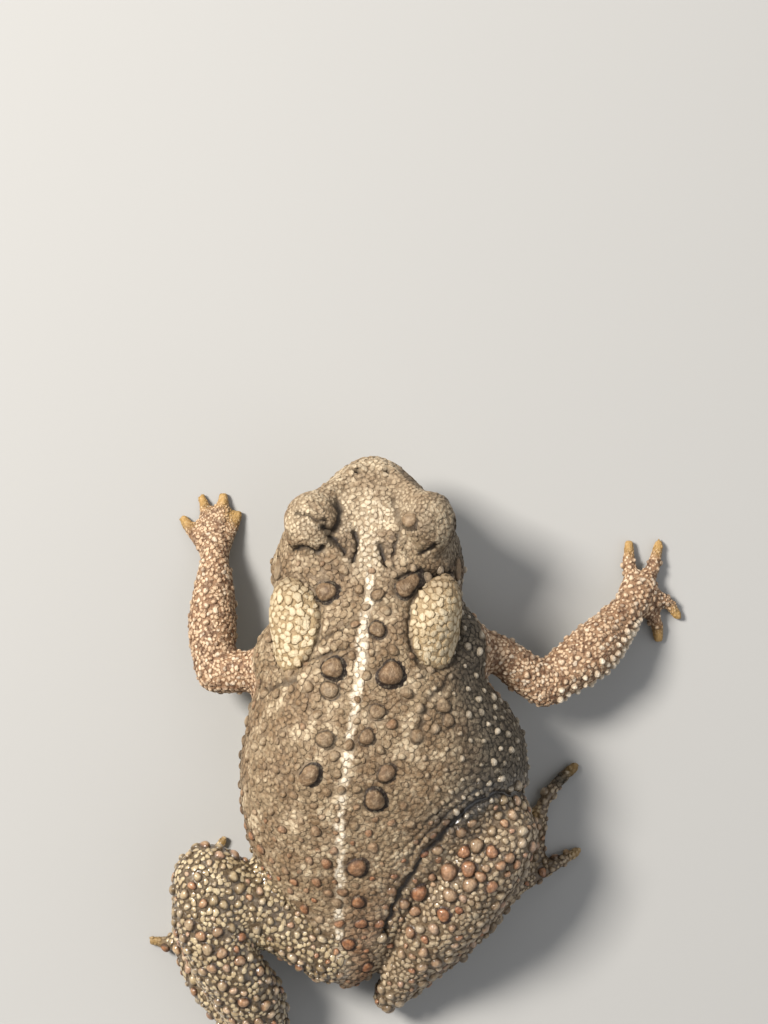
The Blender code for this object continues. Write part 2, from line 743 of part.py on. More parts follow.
def extremity(kind, name, base, pad, digits, radii, web, parts, cutters):
    """A hand or foot: its pad, its digits and, on a foot, the webs between them."""
    right, forward, up, radius = pad
    pieces = [ellipsoid("pad", cutters, (right, forward, up), (radius * 1.15, radius * 1.25, up))]
    pieces += tube("wrist", cutters, [base, pad], sides=3)
    for path in digits:
        pieces += digit("digit", cutters, path, radii)
    if web:
        for first, second in zip(digits, digits[1:]):
            corners = []
            for path in (first, second):
                (r0, f0), (r1, f1) = path[0], path[1]
                corners.append((r0, f0, 0.75, WEB_THICKNESS))
                far = (r0 + (r1 - r0) * 2 * web, f0 + (f1 - f0) * 2 * web)
                corners.append((*far, 0.6, WEB_THICKNESS))
            pieces.append(hull("web", cutters, corners))
    made = flesh(kind, name, pieces, parts)
    combine(made, [floor_block(cutters)], "DIFFERENCE")
    return made


def limb_piece(kind, side, points, parts, cutters):
    """One round length of a limb through its points."""
    return flesh(kind, kind + "_" + side, tube("limb", cutters, points), parts)


def make_arm(side, torso, parts, cutters):
    arm = ARMS[side]
    upper = limb_piece("upper_arm", side, [arm["shoulder"], arm["upper_mid"], arm["elbow"]], parts, cutters)
    fore = limb_piece("forearm", side, [arm["elbow"], arm["fore_mid"], arm["wrist"]], parts, cutters)
    add_warts(fore, FOREARM_WARTS[side], cutters)
    hand = extremity(
        "hand", "hand_" + side, arm["wrist"], arm["palm"], arm["digits"], FINGER_RADII, 0.0, parts, cutters
    )
    across = between(arm["shoulder"], arm["elbow"], arm["fore_mid"])
    split_at(upper, fore, toad_point(*arm["elbow"][:3]), across, cutters)
    across = between(arm["fore_mid"], arm["wrist"], arm["palm"])
    split_at(fore, hand, toad_point(*arm["wrist"][:3]), across, cutters)
    for piece in (upper, fore):
        clear_of(piece, [torso], cutters)
    return {obj.name: obj for obj in (upper, fore, hand)}


def make_leg(side, torso, parts, cutters):
    leg = LEGS[side]
    thigh = limb_piece("thigh", side, [leg["hip"], leg["thigh_mid"], leg["knee"]], parts, cutters)
    shank_line = [leg["knee"], leg["shank_top"], leg["shank_mid"], leg["ankle"]]
    shank = limb_piece("shank", side, shank_line, parts, cutters)
    add_warts(shank, SHANK_WARTS[side], cutters)
    tarsus = limb_piece("tarsus", side, [leg["ankle"], leg["heel"]], parts, cutters)
    foot = extremity(
        "foot", "foot_" + side, leg["heel"], leg["sole"], leg["digits"], TOE_RADII, WEB_SHARE, parts, cutters
    )
    combine(tarsus, [floor_block(cutters)], "DIFFERENCE")
    across = between(leg["thigh_mid"], leg["knee"], leg["shank_top"])
    split_at(thigh, shank, toad_point(*leg["knee"][:3]), across, cutters)
    across = between(leg["shank_mid"], leg["ankle"], leg["heel"])
    split_at(shank, tarsus, toad_point(*leg["ankle"][:3]), across, cutters)
    across = between(leg["ankle"], leg["heel"], leg["sole"])
    split_at(tarsus, foot, toad_point(*leg["heel"][:3]), across, cutters)
    clear_of(torso, [shank], cutters)
    clear_of(thigh, [torso, shank], cutters)
    clear_of(tarsus, [torso, thigh, shank], cutters)
    clear_of(foot, [torso, thigh, shank, tarsus], cutters)
    return {obj.name: obj for obj in (thigh, shank, tarsus, foot)}


def flank_places():
    """Scattered warts on both sides of the back, away from the large ones and from the limbs."""
    rng = random.Random(SEED)
    places = []
    taken = list(BACK_WARTS)
    while len(places) < FLANK_WARTS:
        forward = rng.uniform(-20.0, 8.0)
        left, right = (smooth_value(TORSO_STATIONS, forward, c) for c in (1, 2))
        side = rng.choice((left, right))
        aside = side * rng.uniform(0.5, 0.82)
        radius = rng.uniform(*FLANK_WART_RADIUS)
        if side == right and forward < -2.0:
            continue
        if side == left and forward < -12.0:
            continue
        if all(math.dist((aside, forward), t[:2]) > radius + t[2] + 1.2 for t in taken):
            places.append((aside, forward, radius))
            taken.append(places[-1])
    return places


def finish(nodes):
    """Materials and shading, with the model's box centred on the origin and its lowest point at z 0."""
    kinds = {
        "head": "skin", "torso": "skin", "parotoid": "gland", "eye": "eye", "tympanum": "ear",
        "upper": "skin", "forearm": "skin", "hand": "digit_skin", "thigh": "leg_skin",
        "shank": "leg_skin", "tarsus": "leg_skin", "foot": "digit_skin",
    }
    points = [vert.co for obj in nodes.values() for vert in obj.data.vertices]
    low = Vector([min(p[i] for p in points) for i in range(3)])
    high = Vector([max(p[i] for p in points) for i in range(3)])
    shift = Vector((-(low.x + high.x) / 2, -(low.y + high.y) / 2, -low.z))
    for name, obj in nodes.items():
        obj.data.transform(Matrix.Translation(shift))
        obj.data.materials.clear()
        obj.data.materials.append(material_for(kinds[name.split("_")[0]]))
        obj.data.shade_smooth()
        obj.data.set_sharp_from_angle(angle=math.radians(50.0))


def main():
    clear_scene()
    parts = new_collection("american_toad")
    cutters = new_collection("cutters")
    torso = make_torso(parts, cutters)
    add_warts(torso, BACK_WARTS + flank_places(), cutters)
    head = make_head(parts, cutters)
    front = toad_point(0.0, NECK - GAP / 2, 0.0)
    combine(torso, [beyond(front, toad_point(0.0, 1.0, 0.0), cutters)], "DIFFERENCE")
    nodes = {"torso": torso, "head": head}
    nodes.update(make_eyes(head, parts, cutters))
    carve_face(head, cutters)
    nodes.update(make_tympana(head, parts, cutters))
    nodes.update(make_parotoids(head, torso, parts, cutters))
    for side in ("left", "right"):
        nodes.update(make_arm(side, torso, parts, cutters))
        nodes.update(make_leg(side, torso, parts, cutters))
    finish(nodes)


main()
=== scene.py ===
"""The looks of an American toad at rest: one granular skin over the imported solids, warts and eyes."""

import math

import bmesh
import bpy
import numpy as np
from mathutils import Matrix, Vector, noise
from mathutils.bvhtree import BVHTree


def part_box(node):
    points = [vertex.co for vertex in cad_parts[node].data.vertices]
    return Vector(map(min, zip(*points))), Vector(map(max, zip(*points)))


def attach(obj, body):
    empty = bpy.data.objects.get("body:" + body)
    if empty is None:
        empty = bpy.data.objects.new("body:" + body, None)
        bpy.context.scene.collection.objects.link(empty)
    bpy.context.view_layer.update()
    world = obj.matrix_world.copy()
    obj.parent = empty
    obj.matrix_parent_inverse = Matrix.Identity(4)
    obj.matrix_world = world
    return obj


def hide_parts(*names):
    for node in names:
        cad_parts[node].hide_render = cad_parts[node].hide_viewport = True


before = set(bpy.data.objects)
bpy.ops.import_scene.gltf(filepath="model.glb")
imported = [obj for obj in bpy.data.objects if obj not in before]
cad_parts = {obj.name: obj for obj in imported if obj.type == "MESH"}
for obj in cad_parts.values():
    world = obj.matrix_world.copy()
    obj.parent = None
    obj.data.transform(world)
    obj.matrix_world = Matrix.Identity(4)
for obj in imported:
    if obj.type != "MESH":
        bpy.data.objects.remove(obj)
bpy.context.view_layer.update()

MM = 0.001
PHOTO_HEIGHT = 1024
SEED = 7
SIDES = ("left", "right")

# Places are in millimetres to the toad's right (-X), ahead (-Y) and up, as in the solids' plan.
EYE_FORWARD = 32.3
EYE_UP = 18.5
EYE_RADIUS = 3.5
HEAD_CENTRE = 0.3
HEAD_LEAN = 0.042
NECK = 24.0
MOUTH_CENTRE = 29.5
MOUTH_UP = 12.2
MOUTH_CORNER = 98.0
MOUTH_STEPS = 60
NOSTRIL_FORWARD = 39.6
NOSTRIL_ASIDE = 2.1
DRUM_FORWARD = 27.2
DRUM_UP = 15.4
DRUM_RADIUS = 1.6
DRUM_THICK = 0.62
RIM_THICK = 0.33
RIM_STEPS = 48
GLAND_RIM = 0.85
GLAND_REACH = 3.0
# The low back's colours fade out between these, going ahead.
LOW_BACK = (-14.0, -3.0)
# A gap that counts as none, and a height well over the back.
FAR = 9.0
OVERHEAD = 60.0

# The camera looks straight down from over the head.
CAMERA_RIGHT = 2.6
CAMERA_FORWARD = 33.9
CAMERA_UP = 340.0
BACK_UP = 20.0
MM_PER_PIXEL = 0.1366

# Each light's name, place, size in metres, power and colour.
LIGHTS = [
    ("key", (-420.0, 250.0, 540.0), 0.2, 10.3, (1.0, 0.96, 0.90)),
    ("fill", (450.0, -90.0, 450.0), 0.8, 1.6, (0.92, 0.95, 1.0)),
    ("front", (-40.0, 420.0, 160.0), 0.4, 0.5, (1.0, 1.0, 1.0)),
]

# The skin's mesh size, and how far the flesh swells before the wrap and sinks after it.
VOXEL = 0.535
SWELL = 0.17

# How many spots are tried, how each kind of dome is meshed, and half the patch that one bakes on.
TUBERCLE_TRIES = 60000
GRANULE_TRIES = 190000
WART_DOME = {"sides": 24, "rings": 6, "flat": 2.4, "skirt": 0.28}
TUBERCLE_DOME = {"sides": 12, "rings": 3, "flat": 1.9, "uneven": 0.12}
GRANULE_DOME = {"sides": 8, "rings": 2, "flat": 2.2, "uneven": 0.2}
BAKE_PATCH = 0.0014

FLESH = ["head", "torso", "parotoid_left", "parotoid_right"] + [
    part + "_" + side
    for side in SIDES
    for part in ("upper_arm", "forearm", "hand", "thigh", "shank", "tarsus", "foot")
]

# Each limb's middle line, from its root outwards: right, forward, up, half thickness.
LIMBS = {
    "arm_left": [(-13.0, 12.0, 10.0, 3.6), (-21.4, 10.8, 7.6, 3.4), (-21.8, 18.5, 5.9, 3.8),
                 (-21.6, 27.2, 3.5, 2.9), (-22.0, 36.0, 1.0, 4.2)],
    "arm_right": [(15.5, 15.2, 10.6, 3.8), (25.2, 9.1, 8.2, 3.6), (32.2, 14.2, 6.3, 4.1),
                  (37.6, 20.0, 3.8, 3.0), (40.4, 26.0, 1.0, 4.6), (42.6, 18.0, 1.0, 3.6)],
    "leg_left": [(-6.4, -26.8, 8.8, 5.0), (-12.5, -23.2, 9.8, 5.2), (-22.0, -17.6, 11.6, 5.9),
                 (-18.4, -30.0, 9.6, 6.4), (-12.8, -44.6, 4.6, 3.8), (-24.2, -33.4, 2.5, 2.8),
                 (-25.0, -17.0, 1.0, 5.0)],
    "leg_right": [(4.0, -25.4, 8.4, 4.6), (9.8, -18.6, 8.2, 4.8), (18.9, -11.0, 12.4, 6.2),
                  (12.0, -20.8, 11.2, 6.9), (2.8, -34.8, 4.6, 3.8), (15.4, -26.6, 2.5, 2.8),
                  (24.0, -12.0, 1.0, 6.0)],
}
FINGER_TIPS = [
    (-18.6, 33.6), (-20.6, 36.2), (-23.7, 35.9), (-26.4, 32.9),
    (38.1, 29.3), (42.4, 29.3), (45.2, 18.8), (42.4, 15.6),
]
TOE_TIPS = [
    (-21.4, -25.4), (-21.4, -21.0), (-22.6, -16.8), (-20.6, -13.6), (-31.0, -28.2),
    (19.8, -14.4), (21.9, -10.6), (23.4, -9.6), (30.2, -3.0), (30.6, -15.2),
]

# Seams between the solids that the skin smooths away: right, forward, up, reach.
SEAMS = [
    (-21.4, 10.8, 7.6, 4.6), (-21.6, 27.2, 3.5, 3.4), (25.2, 9.1, 8.2, 4.8), (37.6, 20.0, 3.8, 3.6),
    (-22.0, -17.6, 11.6, 6.8), (-12.8, -44.6, 4.6, 4.4), (-24.2, -33.4, 2.5, 3.4),
    (18.9, -11.0, 12.4, 7.2), (2.8, -34.8, 4.6, 4.4), (15.4, -26.6, 2.5, 3.4),
    (-14.0, 12.0, 9.6, 4.4), (15.0, 15.2, 10.4, 5.0), (-6.4, -27.0, 9.0, 5.4),
]

# Large warts: right, forward, radius, how far and which way each tapers to a tail, and how brown
# and how orange it is.
BACK_WARTS = [
    (-5.3, 23.1, 1.42, 0.1, 0, 1.0, 0.0), (5.3, 23.5, 1.2, 1.5, 42, 1.0, 0.0),
    (1.7, 22.7, 0.8, 0.3, 20, 0.5, 0.0), (1.7, 18.0, 1.05, 0.25, 100, 0.8, 0.0),
    (3.5, 12.1, 1.65, 0.12, 95, 1.0, 0.05), (-4.3, 12.9, 1.45, 0.1, 60, 1.0, 0.0),
    (-4.7, 10.0, 1.2, 0.1, 200, 0.6, 0.0), (-5.3, 3.4, 1.2, 0.0, 0, 0.5, 0.0),
    (-7.2, -1.3, 1.3, 0.95, 221, 1.0, 0.0), (1.4, -4.9, 1.45, 0.15, 130, 1.0, 0.0),
    (1.7, 7.1, 1.05, 0.0, 0, 0.45, 0.0), (0.3, 3.7, 1.05, 0.0, 0, 0.5, 0.0),
    (2.9, -1.2, 1.2, 0.1, 30, 0.6, 0.1), (7.1, 3.8, 1.05, 0.0, 0, 0.45, 0.0),
    (10.6, 7.7, 1.05, 0.1, 80, 0.45, 0.0), (11.3, 5.7, 0.9, 0.0, 0, 0.45, 0.0),
    (-1.1, -14.6, 1.35, 0.05, 0, 0.9, 0.35), (-1.0, -19.8, 0.95, 0.1, 0, 0.6, 0.6),
    (-0.6, -23.1, 0.85, 0.1, 0, 0.6, 0.7), (-2.4, -26.2, 0.95, 0.1, 0, 0.6, 0.7),
    (0.2, -30.0, 0.85, 0.1, 0, 0.6, 0.8), (6.1, 32.8, 1.15, 0.0, 0, 0.55, 0.0),
]
SHANK_WARTS = [
    (11.5, -15.6, 1.24), (7.4, -18.7, 1.17), (14.2, -15.1, 1.1), (11.7, -18.8, 1.04),
    (14.4, -17.3, 1.04), (10.8, -21.6, 0.97), (15.3, -11.9, 1.0), (13.6, -12.8, 0.9),
    (17.4, -12.8, 0.9), (19.8, -13.7, 0.83), (13.1, -9.9, 0.83), (9.9, -12.4, 0.76),
    (14.6, -8.7, 0.69), (5.4, -20.3, 0.83), (6.9, -21.4, 0.83), (6.3, -24.6, 0.83),
    (8.1, -12.9, 0.69), (17.4, -17.6, 0.9), (9.2, -16.4, 0.6), (12.9, -20.9, 0.6), (16.6, -15.0, 0.6),
    (-24.3, -23.2, 0.85), (-22.7, -24.7, 0.8), (-25.3, -25.4, 0.75), (-21.8, -26.6, 0.85),
    (-19.8, -27.1, 0.8), (-20.4, -24.1, 0.75), (-17.2, -25.1, 0.7), (-17.4, -28.3, 0.8),
    (-21.2, -29.3, 0.8), (-14.7, -30.1, 0.7), (-22.6, -30.0, 0.75), (-19.8, -31.9, 0.8),
    (-13.1, -31.9, 0.7), (-17.0, -34.4, 0.8), (-20.6, -34.6, 0.75), (-15.0, -37.6, 0.75),
]

# Grooves seen from above, each a bent line of (right, forward) with its depth and half width.
GROOVES = [
    ([(-4.9, 30.9), (-3.9, 29.8), (-2.75, 28.4)], 0.50, 0.40),
    ([(-5.4, 31.9), (-4.6, 30.9)], 0.80, 0.62),
    ([(-1.35, 31.2), (-1.1, 29.4), (-1.65, 27.0)], 0.46, 0.36),
    ([(2.2, 29.4), (2.35, 28.2), (2.9, 26.8)], 0.46, 0.36),
    ([(4.6, 30.6), (4.15, 29.2), (3.8, 28.2)], 0.34, 0.34),
    ([(-3.9, 35.4), (-3.35, 34.0), (-3.5, 32.4), (-4.3, 31.0)], 0.40, 0.50),
    ([(7.7, 25.6), (7.2, 24.3), (6.4, 22.9)], 0.42, 0.36),
    ([(3.9, 35.8), (4.3, 33.2), (4.9, 31.2)], 0.22, 0.50),
    ([(-9.4, 33.6), (-7.3, 33.2), (-5.3, 32.9)], 0.34, 0.28),
    ([(-10.0, 28.6), (-8.8, 29.1), (-6.4, 28.3), (-5.7, 29.2)], 0.44, 0.38),
    ([(7.8, 28.3), (9.6, 29.4)], 0.50, 0.40),
    ([(4.6, 24.9), (6.4, 25.7), (7.8, 26.2), (8.9, 25.5), (12.4, 25.6)], 0.38, 0.32),
    ([(-0.9, 18.9), (-4.8, 17.2), (-6.4, 16.4)], 0.24, 0.30),
    ([(-2.0, 15.7), (-5.3, 14.8), (-8.4, 13.7)], 0.28, 0.32),
    ([(1.4, 27.6), (4.2, 26.4)], 0.22, 0.28),
    ([(10.9, 10.5), (8.2, 8.2), (7.5, 4.1)], 0.22, 0.45),
    ([(-9.3, 11.2), (-13.8, 9.4)], 0.28, 0.40),
    ([(4.9, 32.4), (5.6, 31.7), (6.6, 31.6)], 0.30, 0.30),
]
# The deep fold in front of the right leg, and the pale line down the middle of the back.
LEG_FOLD = [(22.6, -5.4), (18.4, -4.9), (15.6, -5.7), (12.4, -8.6), (8.9, -12.2), (5.5, -17.0),
            (3.6, -21.4), (2.7, -25.0)]
STRIPE = [(1.0, 26.8), (0.3, 21.0), (-0.2, 17.5), (-0.6, 13.0), (-1.4, 7.5), (-2.0, 3.5), (-2.5, 0.0),
          (-3.3, -6.5), (-3.4, -11.0), (-3.5, -17.3), (-3.7, -22.0), (-3.8, -26.5), (-3.0, -31.0)]
# Round patches of the upper side: right, forward, half width and half length.
LEFT_LID = (-6.6, 33.4, 2.6, 2.6)
RIGHT_LID = (8.6, 32.0, 3.0, 3.2)
GREY_LID = (8.6, 31.6, 3.2, 3.4)
PALE_LID = (-7.2, 33.4, 3.0, 3.2)
LEG_HOLLOW = (10.6, -7.6, 3.0, 1.8)
# The lower edge of the right forearm, where a row of white-tipped tubercles runs.
ARM_ROW = [(28.2, 8.0), (32.1, 10.3), (36.0, 13.6), (38.9, 17.5)]
# The markings and the flanks' painted shade: each is an attribute of all that wears the skin's material.
MARKS = ("leg", "arm", "belly", "flank", "snout", "tip", "orange", "gland", "wet", "pale", "wart", "tone")
# The brown plaques between the crests.
HEAD_PLAQUES = [((-3.2, 29.6), (-1.7, 30.4), (-2.0, 28.2)), ((3.3, 30.6), (3.4, 29.0), (3.2, 27.6))]


def linear(code):
    """A colour given as six hexadecimal digits, in the shader's linear values."""
    parts = [int(code[k:k + 2], 16) / 255 for k in (0, 2, 4)]
    return tuple(c / 12.92 if c <= 0.04045 else ((c + 0.055) / 1.055) ** 2.4 for c in parts) + (1.0,)


def head_axis(forward):
    """How far to the right the head's middle line lies, at a place forward."""
    return HEAD_CENTRE + HEAD_LEAN * (forward - NECK)


NOSTRILS = [head_axis(NOSTRIL_FORWARD) + side * NOSTRIL_ASIDE for side in (-1, 1)]


def plan_origin():
    """Where the plan's zero lies in the frame, from the middle of the two eyes."""
    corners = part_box("eye_left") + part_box("eye_right")
    middle = sum((Vector(c) for c in corners), Vector()) / 4
    return middle - Vector((-head_axis(EYE_FORWARD), -EYE_FORWARD, EYE_UP)) * MM


ORIGIN = plan_origin()
PLAN_SIGNS = np.array([-1.0, -1.0, 1.0])


def toad_point(right, forward, up):
    """Millimetres to the toad's right, ahead and up, as a point of the frame."""
    return ORIGIN + Vector((-right, -forward, up)) * MM


def to_plan(points):
    """Points of the frame as rows of right, forward and up in millimetres."""
    return (np.asarray(points) - np.array(ORIGIN)) / MM * PLAN_SIGNS


# Objects and meshes

def new_object(name, data):
    obj = bpy.data.objects.new(name, data)
    bpy.context.scene.collection.objects.link(obj)
    return obj


def object_from(bm, name):
    mesh = bpy.data.meshes.new(name)
    bm.to_mesh(mesh)
    bm.free()
    return new_object(name, mesh)


def evaluated_mesh(obj):
    """A new mesh of an object as its modifiers or its bevel make it."""
    depsgraph = bpy.context.evaluated_depsgraph_get()
    return bpy.data.meshes.new_from_object(obj.evaluated_get(depsgraph))


def tree_of(obj):
    return BVHTree.FromObject(obj, bpy.context.evaluated_depsgraph_get())


def own(piece, slot, *nodes):
    """Every piece rides on the one body and may stand for nodes; its slot is not used."""
    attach(piece, "root")
    if nodes:
        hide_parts(*nodes)
    return piece


def finish_mesh(obj, material):
    obj.data.shade_smooth()
    obj.data.materials.clear()
    obj.data.materials.append(material)


def rows_of(items, key, width=3, kind=float):
    """A property of a mesh's points, edges or triangles, as rows of an array."""
    flat = np.empty(len(items) * width, dtype=kind)
    items.foreach_get(key, flat)
    return flat.reshape(-1, width)


def points_of(mesh):
    return rows_of(mesh.vertices, "co")


def set_attribute(mesh, name, values):
    layer = mesh.attributes.new(name, "FLOAT", "POINT")
    layer.data.foreach_set("value", np.ascontiguousarray(values, dtype=np.float32))


def set_marks(mesh, marks):
    """Gives a small piece all the attributes that the skin's material reads."""
    blank = np.zeros(len(mesh.vertices))
    for name in MARKS + ("shade", "rise"):
        set_attribute(mesh, name, blank + marks.get(name, 0.0))


# Fields over the skin

def ramp(values, low, high):
    """A smooth step from 0 at low to 1 at high."""
    share = np.clip((values - low) / (high - low), 0.0, 1.0)
    return share * share * (3.0 - 2.0 * share)


def bell(values, wide):
    """A smooth peak of height 1 at 0, nearly gone at twice its width."""
    return np.exp(-((values / wide) ** 2))


def patch(plan, place):
    """A smooth round patch of height 1, given by its right, forward, width and length."""
    right, forward, wide, long = place
    return np.exp(-(((plan[:, 0] - right) / wide) ** 2) - ((plan[:, 1] - forward) / long) ** 2)


def ripples(values, period):
    """Waves from 0 to 1."""
    return 0.5 - 0.5 * np.cos(values * 2 * math.pi / period)


def noise_field(points, size, seed):
    """Smooth noise from -1 to 1 with lumps of a given size in millimetres."""
    shift = Vector((seed * 17.3, seed * 5.1, seed * 9.7))
    return np.array([noise.noise(Vector(p) / size + shift) for p in points])


def wavered(plan, size, reach, seed):
    """Places seen from above, each shifted a little, so that the lines drawn over them waver."""
    shift = np.stack([noise_field(plan, size, seed), noise_field(plan, size, seed + 1)], axis=1)
    return plan[:, :2] + reach * shift


def stretch_distance(points, first, second):
    """Distance of each point to a straight stretch, and how far along the stretch it lies."""
    first, second = np.asarray(first, float), np.asarray(second, float)
    along = second - first
    share = np.clip((points - first) @ along / (along @ along), 0.0, 1.0)
    return np.linalg.norm(points - first - share[:, None] * along, axis=1), share


def line_distance(points, line):
    """Distance of each point to a bent line, seen from above where the line gives no heights."""
    points = points[:, :len(line[0])]
    best = np.full(len(points), 1e9)
    for first, second in zip(line, line[1:]):
        best = np.minimum(best, stretch_distance(points, first, second)[0])
    return best


def limb_share(points, line):
    """Each point's distance to a limb's middle line over the limb's half thickness there."""
    best = np.full(len(points), 1e9)
    for first, second in zip(line, line[1:]):
        distance, share = stretch_distance(points, first[:3], second[:3])
        best = np.minimum(best, distance / (first[3] + share * (second[3] - first[3])))
    return best


# The skin's form

def swollen_flesh():
    """All the flesh nodes in one mesh, each swollen a little, so that they meet."""
    bm = bmesh.new()
    for name in FLESH:
        part = bmesh.new()
        part.from_mesh(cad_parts[name].data)
        bmesh.ops.remove_doubles(part, verts=part.verts, dist=1e-6)
        part.normal_update()
        for vert in part.verts:
            vert.co += vert.normal * SWELL * MM
        mesh = bpy.data.meshes.new("swollen")
        part.to_mesh(mesh)
        part.free()
        bm.from_mesh(mesh)
        bpy.data.meshes.remove(mesh)
    return object_from(bm, "skin")


def keep_outer(bm):
    """Drops the small closed surfaces that a wrap leaves inside."""
    left = set(bm.verts)
    groups = []
    while left:
        group = [left.pop()]
        for vert in group:
            for link in vert.link_edges:
                other = link.other_vert(vert)
                if other in left:
                    left.discard(other)
                    group.append(other)
        groups.append(group)
    groups.sort(key=len)
    loose = [vert for group in groups[:-1] for vert in group]
    bmesh.ops.delete(bm, geom=loose, context="VERTS")


def raw_skin():
    """One closed skin wrapped round all the flesh nodes."""
    skin = swollen_flesh()
    wrap = skin.modifiers.new("wrap", "REMESH")
    wrap.mode = "VOXEL"
    wrap.voxel_size = VOXEL * MM
    rough = skin.data
    skin.data = evaluated_mesh(skin)
    skin.modifiers.clear()
    bpy.data.meshes.remove(rough)
    skin.data.name = skin.name
    bm = bmesh.new()
    bm.from_mesh(skin.data)
    keep_outer(bm)
    bm.to_mesh(skin.data)
    bm.free()
    return skin


class Skin:
    """The skin's mesh as arrays, with the fields that its relief and its markings come from."""

    def __init__(self):
        self.obj = raw_skin()
        self.mesh = self.obj.data
        self.fields = {}
        self.load()
        self.points -= self.normals * SWELL * MM
        self.refresh()

    def load(self):
        self.edges = rows_of(self.mesh.edges, "vertices", 2, np.int64)
        self.links = np.bincount(self.edges.ravel(), minlength=len(self.mesh.vertices)).astype(float)
        self.points = points_of(self.mesh)
        self.refresh()

    def refresh(self):
        flat = np.ascontiguousarray(self.points, dtype=np.float32).ravel()
        self.mesh.vertices.foreach_set("co", flat)
        self.mesh.update()
        self.normals = rows_of(self.mesh.vertices, "normal")
        self.plan = to_plan(self.points)

    def refine(self, chosen):
        """Halves the edges between chosen points."""
        bm = bmesh.new()
        bm.from_mesh(self.mesh)
        edges = [e for e in bm.edges if chosen[e.verts[0].index] and chosen[e.verts[1].index]]
        bmesh.ops.subdivide_edges(bm, edges=edges, cuts=1, use_grid_fill=True)
        many = [face for face in bm.faces if len(face.verts) > 4]
        bmesh.ops.triangulate(bm, faces=many)
        bm.to_mesh(self.mesh)
        bm.free()
        self.load()

    def mean_of_links(self, values):
        """For each point the mean of its neighbours' values."""
        first, second = self.edges.T
        size = len(values)
        total = np.bincount(first, weights=values[second], minlength=size)
        total += np.bincount(second, weights=values[first], minlength=size)
        return total / np.maximum(self.links, 1)

    def relax(self, weight, rounds):
        """Moves each point towards the middle of its neighbours, by its weight."""
        for _ in range(rounds):
            moved = np.stack([self.mean_of_links(column) for column in self.points.T], axis=1)
            self.points += np.reshape(weight, (-1, 1)) * (moved - self.points)
        self.refresh()

    def away(self, place):
        return np.linalg.norm(self.plan - np.array(place[:3]), axis=1)

    def tree(self):
        return tree_of(self.obj)

    def samples(self, rng, count):
        """Spots spread evenly over the skin at random, with their normals and nearest corners."""
        self.mesh.calc_loop_triangles()
        corners = rows_of(self.mesh.loop_triangles, "vertices", 3, np.int64)
        first, second, third = (self.points[corners[:, k]] for k in range(3))
        area = np.linalg.norm(np.cross(second - first, third - first), axis=1)
        picked = corners[rng.choice(len(corners), size=count, p=area / area.sum())]
        spread, turn = np.sqrt(rng.random((count, 1))), rng.random((count, 1))
        shares = np.hstack([1.0 - spread, spread * (1.0 - turn), spread * turn])
        points = np.einsum("nk,nkc->nc", shares, self.points[picked])
        normals = np.einsum("nk,nkc->nc", shares, self.normals[picked])
        normals /= np.linalg.norm(normals, axis=1)[:, None]
        return points, normals, picked[np.arange(count), np.argmax(shares, axis=1)]


def seat(tree, right, forward):
    """The skin's spot straight under a place seen from above, in the frame and the plan, and its normal."""
    spot, normal, _, _ = tree.ray_cast(toad_point(right, forward, OVERHEAD), Vector((0.0, 0.0, -1.0)))
    return spot, to_plan([spot])[0], normal


def node_gap(skin, name, reach):
    """Distance in millimetres from each skin point to a node's surface that faces the same way."""
    tree = tree_of(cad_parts[name])
    low, high = (to_plan([c])[0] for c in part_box(name))
    low, high = np.minimum(low, high) - reach, np.maximum(low, high) + reach
    inside = np.all((skin.plan > low) & (skin.plan < high), axis=1)
    gap = np.full(len(skin.plan), reach)
    for n in np.flatnonzero(inside):
        spot, normal, _, distance = tree.find_nearest(Vector(skin.points[n]))
        facing = normal.dot(Vector(skin.normals[n]))
        gap[n] = distance / MM if facing > 0.35 else max(distance / MM, 0.7)
    return np.minimum(gap, reach)


def gland_gap(skin):
    """Distance in millimetres from each skin point to the nearer gland's surface."""
    return np.minimum(*(node_gap(skin, "parotoid_" + side, GLAND_REACH) for side in SIDES))


def crease_share(plan):
    """Where the body's side creases beside the folded right leg, from 0 to 1."""
    first, second = np.array(LEG_FOLD[2]), np.array(LEG_FOLD[4])
    along = (second - first) / np.linalg.norm(second - first)
    aside = (plan[:, :2] - first) @ np.array([along[1], -along[0]])
    run = (plan[:, :2] - first) @ along
    reach = bell(line_distance(plan, LEG_FOLD), 3.4)
    return reach * (aside > 0) * ramp(run, -5.0, 0.0) * (1.0 - ramp(run, 10.0, 16.0))


def detail_gap(skin, rings):
    """Distance in millimetres from each skin point to the nearest groove, ring, rim or nostril."""
    plan = skin.plan
    right, forward, up = plan.T
    gap = np.full(len(plan), FAR)
    for line in [groove[0] for groove in GROOVES] + [LEG_FOLD]:
        gap = np.minimum(gap, line_distance(plan, line))
    gap = np.where(crease_share(plan) > 0.25, np.minimum(gap, 0.7), gap)
    gap[skin.normals[:, 2] < -0.1] = FAR
    for spot, radius in rings:
        gap = np.minimum(gap, np.abs(skin.away(spot) - radius))
    gap = np.minimum(gap, line_distance(plan, mouth_line(skin.tree())))
    for aside in NOSTRILS:
        gap = np.minimum(gap, np.hypot(right - aside, forward - NOSTRIL_FORWARD) + FAR * (up < 9))
    rim = np.abs(gland_gap(skin) - GLAND_RIM) + FAR * (up < 13.5)
    lid = np.hypot(right - LEFT_LID[0], forward - LEFT_LID[1]) - 1.6 + FAR * (up < 16)
    return np.minimum(np.minimum(gap, rim), np.maximum(lid, 0.3))


